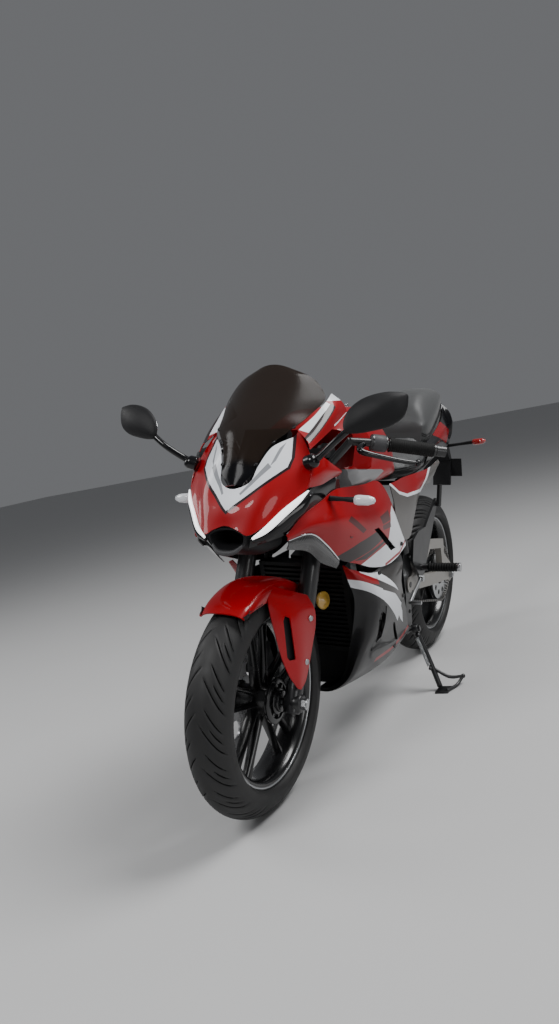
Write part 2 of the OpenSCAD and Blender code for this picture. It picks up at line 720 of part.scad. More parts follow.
module fork(side) {
    y = side * leg_y;
    color("#232427") steer_place() translate([axle_t, y, 0]) {
        translate([0, 0, tube_low_s]) cylinder(h = fork_top_s - tube_low_s, d = fork_tube_d);
        translate([0, 0, fork_top_s - 1]) cylinder(h = 8, d = 34, $fn = 6);
    }
    color("#d5d7da") steer_place() translate([axle_t, y, 0])
        translate([0, 0, axle_s + 20]) cylinder(h = tube_low_s - axle_s, d = stanchion_d);
    color("#1c1d1f") steer_place() difference() {
        union() {
            translate([axle_t, y, axle_s - 26]) cylinder(h = 80, d = stanchion_d + 8);
            translate([axle_t, y + side * 4 - 24, axle_s]) rotate([-90, 0, 0])
                cylinder(h = 48, d = 46);
        }
        translate([axle_t, -200, axle_s]) rotate([-90, 0, 0])
            cylinder(h = 400, d = axle_d + 2 * run_gap);
    }
}

module front_axle() {
    end_y = leg_y + 4 + 24;
    color("#c9ccd0") translate([front_axle_x, 0, front_axle_z]) rotate([90, 0, 0]) {
        translate([0, 0, -end_y - 14]) cylinder(h = 2 * end_y + 28, d = axle_d);
        for (z = [-end_y - 12, end_y + seat_gap])
            translate([0, 0, z]) cylinder(h = 12 - seat_gap, d = axle_d + 13, $fn = 6);
    }
}

module front_mudguard() {
    arch_r = front_wheel_r + 22;
    skin_t = 4;
    side_y = front_tyre_w / 2 + 7;
    fin = [[axle_t + 146, axle_s + 182], [axle_t + 84, axle_s + 100], [axle_t + 28, axle_s + 44],
           [axle_t + 8, axle_s + 34], [axle_t + 4, axle_s + 60], [axle_t - 6, axle_s + 150],
           [axle_t - 20, axle_s + 260], [axle_t + 60, axle_s + 280]];
    fin_y = leg_y + fork_tube_d / 2 + 4;
    color("#c4101f") {
        // arch over the tyre
        intersection() {
            turned(front_axle_x, front_axle_z) difference() {
                union() {
                    translate([arch_r - 20, -side_y]) square([20 + skin_t, 2 * side_y]);
                    translate([arch_r - 66, -side_y]) square([66, skin_t]);
                    translate([arch_r - 66, side_y - skin_t]) square([66, skin_t]);
                }
                translate([0, -side_y + skin_t]) square([arch_r, 2 * (side_y - skin_t)]);
            }
            translate([front_axle_x, 0, front_axle_z]) side_plate(
                [[0, 0], [arch_r * 1.3, arch_r * 2.0], [-arch_r * 1.2, arch_r * 1.6],
                 [-arch_r * 1.5, arch_r * 1.5]], -side_y, side_y);
        }
    }
    color("#c4101f") steer_place() both_sides() {
        side_plate(fin, fin_y, fin_y + skin_t);
        // carriers from the arch, past the leg, to the fin
        translate([axle_t + fork_tube_d / 2 + seat_gap, side_y - 2, axle_s + 256])
            cube([36, fin_y - side_y + 3, 16]);
    }
}

module brake_caliper() {
    disc_y = -(front_tyre_w / 2 + 5);
    color("#2a2b2d") steer_place() {
        difference() {
            translate([axle_t - 112, disc_y - 22, axle_s + 64]) cube([62, 40, 92]);
            translate([axle_t, 100, axle_s]) rotate([90, 0, 0])
                translate([0, 0, 100 - disc_y - disc_t / 2 - 2.5])
                    cylinder(h = disc_t + 5, r = front_disc_r + joint_gap);
        }
        // bracket that bolts to the leg
        translate([axle_t - 52, disc_y - 40, axle_s + 78])
            cube([52 - stanchion_d / 2 - 4 - seat_gap, 20, 40]);
    }
}

module brake_hose() {
    out_y = -leg_y - fork_tube_d / 2 - 12;
    route = [steer_point(axle_t - 84, -78, axle_s + 162), steer_point(axle_t - 60, -84, 560),
             steer_point(axle_t - 46, out_y + 24, 650), steer_point(axle_t - 20, out_y, 700),
             steer_point(axle_t + 10, out_y, 745), steer_point(axle_t + 40, out_y + 14, 800),
             steer_point(axle_t + 52, -leg_y - 3, 900), steer_point(axle_t + 60, -160, 985)];
    color("#1a1a1c") tube(route, 7, [0, 1, 0]);
}

module handlebar(side) {
    clamp_s = head_top_s - 60;
    route = [steer_point(axle_t + 34, leg_y + 12, clamp_s + 12), [402 * stretch, 176, 934],
             [366 * stretch, 236, 925], [262 * stretch, 378, 889]];
    out = unit(route[3] - route[2]);
    color("#1d1e20") mirror([0, side < 0 ? 1 : 0, 0]) {
        difference() {
            union() {
                steer_place() translate([axle_t, leg_y, clamp_s])
                    cylinder(h = 24, d = fork_tube_d + 16);
                steer_place() translate([axle_t + 18, leg_y, clamp_s]) cube([24, 26, 24]);
            }
            steer_place() translate([axle_t, leg_y, clamp_s - 1])
                cylinder(h = 26, d = fork_tube_d + 2 * run_gap);
        }
        mitred_bar(route, bar_d);
        rod(route[2] + out * 34, route[3] - out * 14, grip_d);
        rod(route[3] - out * 12, route[3] + out * 14, grip_d - 3);
        rod(route[2] - out * 14, route[2] + out * 26, grip_d + 11);
    }
}

module levers() {
    tip = st([350, 344, 868]);
    color("#2b2c2e") both_sides() {
        tube([st([394, 210, 924]), st([424, 212, 918]), st([436, 222, 910]),
              st([428, 242, 902]), st([404, 272, 890]), tip], 11, [0, 0, 1]);
        translate(tip) sphere(d = 19);
    }
}

// ---------------------------------------------------------------- wheels
module rim(x, z, half_w, hub_half, turn_angle) {
    fan = 162 / spoke_pairs;
    color("#17181b") {
        turned(x, z) {
            difference() {
                translate([bead_r - 16, -half_w]) square([20, 2 * half_w]);
                translate([bead_r - 4, -half_w + 12]) square([12, 2 * (half_w - 12)]);
            }
            for (v = [-half_w, half_w - 6]) translate([bead_r, v]) square([12, 6]);
            translate([axle_d / 2 + run_gap, -hub_half])
                square([42 - axle_d / 2, 2 * hub_half]);
        }
        translate([x, 0, z]) rotate([90, 0, 0])
            for (k = [0 : spoke_pairs - 1], half = [-1, 1])
                rotate([0, 0, turn_angle + 360 / spoke_pairs * k])
                    translate([0, 0, -11]) linear_extrude(22) polygon([
                        [half * 7, 34], [half * 36 * sin(fan), 36 * cos(fan)],
                        [half * 42, bead_r - 12], [half * 27, bead_r - 10]]);
    }
}

module tyre(x, z, radius, width, bead_half) {
    wall = 9;
    crown = width / 2;
    color("#1c1c1d") turned(x, z) difference() {
        translate([radius - crown, 0]) circle(r = crown, $fn = 72);
        translate([radius - crown, 0]) circle(r = crown - wall, $fn = 72);
        translate([0, -crown]) square([bead_r + 4 + seat_gap, width]);
        translate([0, -bead_half + 6.3]) square([bead_r + 12 + seat_gap, 2 * (bead_half - 6.3)]);
    }
}

module disc(x, y, z, radius, bore) {
    color("#b5b8bb") difference() {
        translate([x, y + disc_t / 2, z]) rotate([90, 0, 0]) difference() {
            cylinder(h = disc_t, r = radius, $fn = 96);
            translate([0, 0, -1]) cylinder(h = disc_t + 2, r = bore);
            for (k = [0 : 19]) rotate([0, 0, 18 * k]) translate([radius - 16, 0, -1])
                cylinder(h = disc_t + 2, d = 9, $fn = 16);
            for (k = [0 : 4]) rotate([0, 0, 72 * k]) translate([radius * 0.62, 0, -1])
                cylinder(h = disc_t + 2, d = radius * 0.34, $fn = 24);
        }
    }
}

front_disc_y = -(front_tyre_w / 2 + 5);
front_rim_half = 44;
rear_rim_half = 58;
front_hub_half = leg_y - 28;
rear_hub_half = arm_in_y - 2;

module front_rim() rim(front_axle_x, front_axle_z, front_rim_half, front_hub_half, 20);
module rear_rim() rim(rear_axle_x, rear_axle_z, rear_rim_half, rear_hub_half, 0);
module front_tyre()
    tyre(front_axle_x, front_axle_z, front_wheel_r, front_tyre_w, front_rim_half);
module rear_tyre() tyre(rear_axle_x, rear_axle_z, rear_wheel_r, rear_tyre_w, rear_rim_half);
module front_disc()
    disc(front_axle_x, front_disc_y, front_axle_z, front_disc_r, 42 + seat_gap);
module rear_disc() disc(rear_axle_x, rear_disc_y, rear_axle_z, rear_disc_r, 42 + seat_gap);

module sprocket() {
    color("#c2c5c8") translate([rear_axle_x, drive_y + drive_t / 2, rear_axle_z])
        rotate([90, 0, 0]) difference() {
            cylinder(h = drive_t, r = sprocket_r, $fn = 96);
            translate([0, 0, -1]) cylinder(h = drive_t + 2, r = 42 + seat_gap);
            for (k = [0 : 9]) rotate([0, 0, 36 * k]) translate([sprocket_r * 0.72, 0, -1])
                cylinder(h = drive_t + 2, d = sprocket_r * 0.2, $fn = 24);
        }
}

// ---------------------------------------------------------------- side stand
module side_stand() {
    foot_y = stand_pivot[1] + stand_foot_rel[1];
    floor_z = foot_y * tan(lean) - floor_lift / cos(lean);
    foot = [stand_pivot[0] + stand_foot_rel[0], foot_y, floor_z];
    hinge = unit(stand_axis);
    color("#1d1e20") {
        difference() {
            rod(stand_pivot - 9 * hinge, stand_pivot + 11 * hinge, 34);
            rod(stand_pivot - 20 * hinge, stand_pivot + 20 * hinge,
                stand_bolt_d + 2 * run_gap);
        }
        rod(stand_pivot + [5, 9, -15], foot + [0, 0, foot_t / 2], stand_leg_d);
        translate(foot) rotate([lean, 0, 0]) linear_extrude(foot_t)
            polygon([[-26, -16], [30, -22], [36, 44], [16, 56]]);
        rod(foot + [6, 26, 9], foot + [-34, 40, 22], 7);
        translate(foot + [-34, 40, 22]) sphere(d = 14);
    }
}

park() main_frame();
park() subframe();
park() engine();
park() radiator();
park() swingarm();
park() rear_shock();
park() exhaust();
park() chain();
park() rear_axle();
park() footrest(1);  // footrest_left
park() footrest(-1);  // footrest_right
park() pedals();
park() fuel_tank();
park() fuel_cap();
park() rider_seat();
park() pillion_seat();
park() side_covers();
park() tail_cowl();
park() tail_lamp();
park() rear_indicators();
park() plate_hanger();
park() nose_cowl();
park() intake();
park() lamps();
park() windscreen();
park() instrument();
park() side_fairing(1);  // side_fairing_left
park() side_fairing(-1);  // side_fairing_right
park() fairing_inserts();
park() lower_fairing(1);  // lower_fairing_left
park() lower_fairing(-1);  // lower_fairing_right
park() front_indicators();
park() mirror_piece(1);  // mirror_left
park() mirror_piece(-1);  // mirror_right
park() triple_clamps();
park() fork(1);  // fork_left
park() fork(-1);  // fork_right
park() front_axle();
park() front_mudguard();
park() brake_caliper();
park() brake_hose();
park() handlebar(1);  // handlebar_left
park() handlebar(-1);  // handlebar_right
park() levers();
park() front_rim();
park() front_tyre();
park() front_disc();
park() rear_rim();
park() rear_tyre();
park() rear_disc();
park() sprocket();
park() side_stand();
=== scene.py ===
"""Looks of a full-fairing sport motorcycle on its side stand, laid out as a Blender add-on."""

import json
import math

import bmesh
import bpy
from mathutils import Matrix, Vector


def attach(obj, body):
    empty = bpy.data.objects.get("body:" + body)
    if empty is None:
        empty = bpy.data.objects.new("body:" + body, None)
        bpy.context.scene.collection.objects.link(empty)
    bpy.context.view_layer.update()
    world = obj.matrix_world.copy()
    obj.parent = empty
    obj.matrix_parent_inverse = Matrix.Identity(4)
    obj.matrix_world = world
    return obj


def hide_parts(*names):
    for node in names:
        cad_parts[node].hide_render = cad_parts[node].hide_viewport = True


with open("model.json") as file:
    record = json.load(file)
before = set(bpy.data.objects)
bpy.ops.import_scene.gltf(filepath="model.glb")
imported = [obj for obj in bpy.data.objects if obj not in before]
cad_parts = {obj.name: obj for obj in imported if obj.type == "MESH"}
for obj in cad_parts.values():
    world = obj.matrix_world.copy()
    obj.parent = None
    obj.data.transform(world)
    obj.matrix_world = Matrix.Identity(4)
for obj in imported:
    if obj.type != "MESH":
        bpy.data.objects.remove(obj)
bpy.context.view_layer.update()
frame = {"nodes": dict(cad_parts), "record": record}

bl_info = {
    "name": "Sport motorcycle",
    "version": (1, 0, 0),
    "blender": (4, 5, 0),
    "location": "View3D > Sidebar > Motorcycle",
    "description": "Builds the bodywork, wheels, seats and finishes of a sport motorcycle",
    "category": "Add Mesh",
}

JOINTS = {joint["name"]: joint for joint in frame["record"]["behaviour"]["joints"]}

# The bike is drawn upright, in millimetres: x forward from mid-wheelbase, y to its left, z up.
WHEELBASE = 1350
FRONT_R, REAR_R = 300, 306
FRONT_W, REAR_W = 120, 150
RAKE, TRAIL = math.radians(25.5), 98
LEAN = -math.asin(JOINTS["front_wheel_spin"]["axis"][2])
UPRIGHT_TO_ROW = Matrix.Rotation(-LEAN, 4, "X")
REAR_HUB = (-WHEELBASE / 2, 0, REAR_R)
FRONT_HUB_Z = FRONT_R + (REAR_W - FRONT_W) / 2 * (1 / math.cos(LEAN) - 1)
FRONT_HUB = (WHEELBASE / 2, 0, FRONT_HUB_Z)
PARK = Vector(JOINTS["rear_wheel_spin"]["pos_m"]) - UPRIGHT_TO_ROW @ (Vector(REAR_HUB) / 1000)


def place(point):
    """A point of the upright bike, in millimetres, as it stands in the leaning frame."""
    return UPRIGHT_TO_ROW @ (Vector(point) / 1000) + PARK


def steer_point(ahead, side, up):
    """A point given ahead of, beside and along the steering axis, on the upright bike."""
    return (WHEELBASE / 2 + TRAIL + ahead * math.cos(RAKE) - up * math.sin(RAKE), side,
            ahead * math.sin(RAKE) + up * math.cos(RAKE))


AXLE_AHEAD = FRONT_HUB_Z * math.sin(RAKE) - TRAIL * math.cos(RAKE)
AXLE_UP = FRONT_HUB_Z * math.cos(RAKE) + TRAIL * math.sin(RAKE)
LEG_SIDE, FORK_TUBE_R = 97, 25
SWING_ROOM, JOINT_GAP = 14, 6
CHAIN_PITCH = 12.7
SPROCKET_RADII = 36, 106
CHAIN_Y = 86.5
COUNTERSHAFT = (-95, 385)


# ------------------------------------------------------------------ sizes and colours

class BikeSizes(bpy.types.PropertyGroup):
    """Sizes that a user would change."""
    panel_wall: bpy.props.FloatProperty(
        name="Panel wall", description="Thickness of the moulded panels",
        default=0.0028, unit="LENGTH")
    tread_depth: bpy.props.FloatProperty(
        name="Tread depth", description="Depth of the grooves in the tyres",
        default=0.004, unit="LENGTH")
    groove_pitch: bpy.props.FloatProperty(
        name="Groove pitch", description="Distance between tread grooves round a tyre",
        default=0.052, unit="LENGTH")
    seat_rise: bpy.props.FloatProperty(
        name="Seat rise", description="How far the seat padding may swell",
        default=0.008, unit="LENGTH")


class BikeColours(bpy.types.PropertyGroup):
    """Colours that a user would change."""
    red: bpy.props.FloatVectorProperty(
        name="Red", description="Red paint", subtype="COLOR", default=(0.30, 0.0, 0.004))
    white: bpy.props.FloatVectorProperty(
        name="White", description="White stripes", subtype="COLOR", default=(0.78, 0.80, 0.84))
    stripe_grey: bpy.props.FloatVectorProperty(
        name="Stripe grey", description="Grey stripes", subtype="COLOR",
        default=(0.020, 0.012, 0.012))
    fairing_grey: bpy.props.FloatVectorProperty(
        name="Fairing grey", description="Dark grey lower fairing", subtype="COLOR",
        default=(0.016, 0.016, 0.017))
    silver: bpy.props.FloatVectorProperty(
        name="Silver", description="Silver-grey side covers", subtype="COLOR",
        default=(0.095, 0.09, 0.085))
    vinyl: bpy.props.FloatVectorProperty(
        name="Seat vinyl", description="Grey seat vinyl", subtype="COLOR",
        default=(0.034, 0.036, 0.037))
    black: bpy.props.FloatVectorProperty(
        name="Black", description="Black gloss paint", subtype="COLOR",
        default=(0.005, 0.005, 0.006))


def sizes():
    return bpy.context.scene.bike_sizes


def colours():
    return bpy.context.scene.bike_colours


# ------------------------------------------------------------------ finishes

class Wave:
    """One socket of a finish, with arithmetic that adds the nodes it needs."""

    def __init__(self, finish, socket):
        self.finish, self.socket = finish, socket

    def maths(self, operation, *values):
        return self.finish.node("ShaderNodeMath", {"operation": operation}, dict(enumerate(values)))

    def __add__(self, other):
        return self.maths("ADD", self, other)

    __radd__ = __add__

    def __sub__(self, other):
        return self.maths("SUBTRACT", self, other)

    def __rsub__(self, other):
        return self.maths("SUBTRACT", other, self)

    def __mul__(self, other):
        return self.maths("MULTIPLY", self, other)

    __rmul__ = __mul__

    def __truediv__(self, other):
        return self.maths("DIVIDE", self, other)

    def least(self, other):
        return self.maths("MINIMUM", self, other)

    def most(self, other):
        return self.maths("MAXIMUM", self, other)

    def size(self):
        return self.maths("ABSOLUTE", self)

    def step(self, soft=0.8):
        """0 below zero and 1 above it, with a soft edge that many millimetres wide."""
        node = self.finish.node(
            "ShaderNodeMapRange", {"interpolation_type": "SMOOTHSTEP"},
            {"Value": self, "From Min": -soft / 2, "From Max": soft / 2})
        return node


class Finish:
    """A procedural material in the making, with the upright bike's coordinates at hand."""

    def __init__(self, name, colour, roughness, metallic=0.0, coat=0.0, **more):
        self.material = bpy.data.materials.new(name)
        self.material.use_nodes = True
        self.tree = self.material.node_tree
        self.shader = self.tree.nodes["Principled BSDF"]
        self.set("Base Color", (*colour[:3], 1))
        self.set("Roughness", roughness)
        self.set("Metallic", metallic)
        self.set("Coat Weight", coat)
        self.set("Coat Roughness", 0.04)
        for key, value in more.items():
            self.set(key.replace("_", " ").title(), value)
        self.colour = (*colour[:3], 1)
        self.spots = None

    def set(self, key, value):
        socket = self.shader.inputs[key]
        if isinstance(value, Wave):
            self.tree.links.new(value.socket, socket)
        else:
            socket.default_value = value

    def node(self, kind, settings=(), inputs=(), output=0):
        """Adds a node, sets it up, feeds its sockets and returns one output as a Wave."""
        node = self.tree.nodes.new(kind)
        for key, value in dict(settings).items():
            setattr(node, key, value)
        for key, value in dict(inputs).items():
            if isinstance(value, Wave):
                self.tree.links.new(value.socket, node.inputs[key])
            else:
                node.inputs[key].default_value = value
        return Wave(self, node.outputs[output])

    def bike_point(self):
        """The upright bike's coordinates in millimetres, as a vector."""
        if self.spots is None:
            here = self.node("ShaderNodeTexCoord", output=3)
            moved = self.node("ShaderNodeVectorMath", {"operation": "SUBTRACT"},
                              {0: here, 1: tuple(PARK)})
            self.spots = self.node("ShaderNodeMapping", {"vector_type": "POINT"},
                                   {"Vector": moved, "Rotation": (LEAN, 0, 0),
                                    "Scale": (1000, 1000, 1000)})
        return self.spots

    def axes(self):
        apart = self.node("ShaderNodeSeparateXYZ", (), {0: self.bike_point()})
        node = apart.socket.node
        return [Wave(self, node.outputs[i]) for i in range(3)]

    def along(self, direction):
        """Distance of the point along a direction of the upright bike."""
        return Wave(self, self.node("ShaderNodeVectorMath", {"operation": "DOT_PRODUCT"},
                                    {0: self.bike_point(), 1: direction}).socket.node.outputs[1])

    def inside(self, corners, plane="xz", soft=0.8):
        """1 inside a convex outline seen from the side (xz), from above (xy) or, for both
        halves alike, from the front (yz)."""
        if plane == "yz":
            x, y, z = self.axes()
            first, second = y.size(), z
        nearest = None
        middle = [sum(corner[i] for corner in corners) / len(corners) for i in (0, 1)]
        for (a, b), (c, d) in zip(corners, corners[1:] + corners[:1]):
            across = Vector((b - d, c - a)).normalized()
            if across.dot(Vector((middle[0] - a, middle[1] - b))) < 0:
                across = -across
            offset = across.dot(Vector((a, b)))
            if plane == "yz":
                depth = first * across[0] + second * across[1] - offset
            else:
                direction = ((across[0], 0, across[1]) if plane == "xz"
                             else (across[0], across[1], 0))
                depth = self.along(direction) - offset
            nearest = depth if nearest is None else nearest.least(depth)
        return nearest.step(soft)

    def stripe(self, route, half):
        """1 along a bent line seen from the side, that many millimetres to each side."""
        found = None
        for a, b in zip(route, route[1:]):
            a, b = Vector(a), Vector(b)
            aside = Vector((a.y - b.y, b.x - a.x)).normalized() * half
            part = self.inside([tuple(a + aside), tuple(b + aside), tuple(b - aside),
                                tuple(a - aside)])
            found = part if found is None else found.most(part)
        return found

    def noise(self, scale, detail=3, stretch=(1, 1, 1)):
        """Smooth noise, with scale in features per metre."""
        spread = self.node("ShaderNodeVectorMath", {"operation": "MULTIPLY"},
                           {0: self.bike_point(), 1: tuple(s / 1000 for s in stretch)})
        return self.node("ShaderNodeTexNoise", (), {"Vector": spread, "Scale": scale,
                                                    "Detail": detail})

    def cells(self, scale, feature="F1"):
        spread = self.node("ShaderNodeVectorMath", {"operation": "SCALE"},
                           {0: self.bike_point(), "Scale": 0.001})
        return self.node("ShaderNodeTexVoronoi", {"feature": feature},
                         {"Vector": spread, "Scale": scale})

    def paint(self, mask, colour):
        """Lays a colour over what is there, where the mask is 1."""
        base = self.colour
        self.colour = Wave(self, self.node(
            "ShaderNodeMix", {"data_type": "RGBA"},
            {0: mask, 6: base, 7: colour if isinstance(colour, Wave) else (*colour[:3], 1)}
        ).socket.node.outputs[2])
        self.set("Base Color", self.colour)
        return self

    def relief(self, height, distance, strength=1.0):
        """Raises the surface by up to distance metres where height is 1."""
        self.set("Normal", self.node("ShaderNodeBump", (), {
            "Height": height, "Distance": distance, "Strength": strength}))
        return self

    def vary_roughness(self, low, high, wave):
        self.set("Roughness", wave * (high - low) + low)
        return self


def paint_finish(name, colour, coat=0.45, roughness=0.4):
    """Gloss paint or gloss moulded plastic with a faint orange peel."""
    finish = Finish(name, colour, roughness, coat=coat, coat_roughness=0.03)
    finish.set("Specular IOR Level", 0.18)
    finish.relief(finish.noise(260, 1), 0.00012, 0.35)
    finish.vary_roughness(roughness - 0.04, roughness + 0.06, finish.noise(9, 4))
    return finish


def plastic_finish(name, colour, roughness=0.62, grain=900):
    """Moulded plastic with a fine grain."""
    finish = Finish(name, colour, roughness)
    finish.set("Specular IOR Level", 0.25)
    grains = finish.cells(grain)
    finish.relief(grains, 0.0002, 0.5)
    finish.vary_roughness(roughness - 0.08, roughness + 0.1, finish.noise(22, 4))
    return finish


def metal_finish(name, colour, roughness, grain=(1, 1, 1), scale=420):
    """Bare, cast, brushed or plated metal."""
    finish = Finish(name, colour, roughness, metallic=1.0)
    lines = finish.noise(scale, 4, grain)
    finish.relief(lines, 0.00015, 0.4)
    finish.vary_roughness(max(roughness - 0.08, 0.02), roughness + 0.12, finish.noise(30, 5))
    return finish


def coated_metal_finish(name, colour, roughness=0.38):
    """Powder-coated or painted metal with a slight texture and dust."""
    finish = Finish(name, colour, roughness, coat=0.25)
    dust = finish.noise(14, 6)
    finish.paint((dust - 0.62).step(0.3) * 0.25, tuple(c * 2.2 + 0.01 for c in colour))
    finish.relief(finish.noise(700, 2), 0.0001, 0.4)
    finish.vary_roughness(roughness - 0.06, roughness + 0.14, dust)
    return finish


FINISHES = {}


def nose_red():
    """Red nose with a white V round the glass, grey slashes and a dark outline."""
    c = colours()
    finish = paint_finish("nose_red", c.red)
    for outline in ([(-6, 796), (124, 896), (108, 934), (30, 884), (-6, 862)],
                    [(123, 894), (126, 920), (116, 974), (56, 958), (32, 880)]):
        finish.paint(finish.inside(outline, "yz"), (0.012, 0.003, 0.005))
    for outline in ([(-6, 804), (118, 900), (102, 930), (30, 880), (-6, 858)],
                    [(117, 899), (120, 918), (110, 966), (58, 952), (36, 880)]):
        finish.paint(finish.inside(outline, "yz"), c.white)
    for outline in ([(22, 846), (26, 842), (84, 902), (74, 912)],
                    [(80, 904), (90, 916), (100, 956), (90, 944)]):
        finish.paint(finish.inside(outline, "yz"), (0.26, 0.27, 0.29))
    FINISHES["nose_red"] = finish


def wing_red():
    """Red wing beside the screen: white upper stripe, dark stripe, white lower edge."""
    c = colours()
    finish = paint_finish("wing_red", c.red)
    finish.paint(finish.inside([(596, 990), (586, 972), (478, 1038), (486, 1052)]), c.white)
    finish.paint(finish.inside([(610, 962), (606, 952), (470, 1030), (474, 1040)]),
                 (0.015, 0.006, 0.008))
    finish.paint(finish.inside([(486, 1046), (400, 1044), (372, 1050), (452, 1070)]), c.white)
    finish.paint(finish.inside([(496, 986), (488, 966), (380, 996), (400, 1012)]), c.white)
    FINISHES["wing_red"] = finish


def side_red():
    """Red upper side fairing with dark stripes and a white rear band."""
    c = colours()
    finish = paint_finish("side_red", c.red)
    for band in ([(548, 652), (454, 672), (340, 682), (276, 652), (380, 634), (494, 624)],
                 [(466, 624), (380, 632), (273, 641), (270, 634), (400, 614)]):
        finish.paint(finish.inside(band), c.stripe_grey)
    for band in ([(440, 607), (335, 618), (241, 632), (150, 640), (60, 604), (50, 560),
                  (250, 545)],
                 [(241, 632), (212, 708), (171, 724), (50, 620), (60, 590), (150, 600)]):
        finish.paint(finish.inside(band), c.white)
    for band in ([(318, 716), (236, 722), (222, 690), (296, 690)],
                 [(300, 688), (224, 686), (217, 668), (292, 673)],
                 [(520, 742), (500, 752), (420, 700), (440, 694)]):
        finish.paint(finish.inside(band) * 0.8, c.stripe_grey)
    finish.paint(finish.stripe([(250, 564), (118, 572), (66, 598)], 4), c.red)
    FINISHES["side_red"] = finish


def lower_dark():
    """Dark lower fairing with a red wedge, white and grey swooshes and a red rear edge."""
    c = colours()
    finish = paint_finish("lower_dark", c.fairing_grey, coat=0.35, roughness=0.42)
    grey, white = (0.045, 0.042, 0.041), c.white
    for band, tint in (
            ([(560, 640), (435, 612), (60, 560), (-20, 420), (60, 360), (312, 505),
              (500, 584)], grey),
            ([(560, 650), (436, 612), (336, 572), (330, 526), (454, 566), (505, 592)], c.red),
            ([(438, 612), (326, 574), (236, 516), (134, 452), (240, 500), (309, 530),
              (417, 578)], white),
            ([(502, 590), (441, 568), (312, 510), (300, 470), (400, 530)], white),
            ([(316, 508), (206, 468), (80, 402), (100, 350), (300, 470)], white),
            ([(120, 420), (46, 366), (0, 310), (50, 340), (110, 372)], white)):
        finish.paint(finish.inside(band), tint)
    finish.paint(finish.stripe([(240, 268), (96, 254), (-31, 260), (-150, 284)], 7), c.red)
    FINISHES["lower_dark"] = finish


def tank_red():
    """Red tank with a grey insert low on each side."""
    c = colours()
    finish = paint_finish("tank_red", c.red)
    finish.paint(finish.inside([(466, 868), (171, 830), (150, 822), (262, 806), (410, 796),
                                (470, 826)]), (0.22, 0.22, 0.225))
    FINISHES["tank_red"] = finish


def tail_black():
    """Black tail with a red side panel."""
    c = colours()
    finish = paint_finish("tail_black", c.black, roughness=0.22)
    finish.paint(finish.inside([(-512, 906), (-657, 918), (-880, 852), (-806, 806),
                                (-560, 866)]), c.red)
    FINISHES["tail_black"] = finish


def tyre_rubber():
    finish = Finish("tyre_rubber", (0.006, 0.006, 0.0065), 0.55)
    scuff = finish.noise(40, 6)
    finish.paint((scuff - 0.5).step(0.5) * 0.5, (0.014, 0.0135, 0.013))
    finish.relief(finish.noise(1500, 2), 0.0002, 0.5)
    finish.vary_roughness(0.45, 0.72, scuff)
    FINISHES["tyre_rubber"] = finish


def seat_vinyl():
    c = colours()
    finish = Finish("seat_vinyl", c.vinyl, 0.5, sheen_weight=0.15)
    pores = finish.cells(1100, "DISTANCE_TO_EDGE")
    finish.relief(pores.least(0.12), 0.0012, 0.5)
    finish.paint((finish.noise(12, 5) - 0.5).step(0.6) * 0.25, tuple(v * 0.7 for v in c.vinyl))
    finish.vary_roughness(0.42, 0.6, finish.noise(30, 4))
    FINISHES["seat_vinyl"] = finish


def screen_smoke():
    finish = Finish("screen_smoke", (0.020, 0.014, 0.011), 0.16, coat=0.0)
    finish.set("Specular IOR Level", 0.1)
    haze = finish.noise(6, 3)
    x, y, z = finish.axes()
    low = (925 - z - y.size() * 0.35).step(24)
    finish.set("Alpha", (haze * 0.06 + 0.78).most(low))
    finish.paint(low, (0.006, 0.006, 0.007))
    finish.set("IOR", 1.49)
    FINISHES["screen_smoke"] = finish


def lens_finish(name, colour, alpha, emission=0.0):
    finish = Finish(name, colour, 0.08, coat=1.0)
    x, y, z = finish.axes()
    flutes = (x * 0.9 + z * 0.9).maths("SINE", x * 0.9 + z * 0.9)
    finish.relief(flutes, 0.0006, 0.4)
    finish.set("Alpha", alpha)
    if emission:
        finish.set("Emission Color", (1, 1, 1, 1))
        finish.set("Emission Strength", emission)
    FINISHES[name] = finish


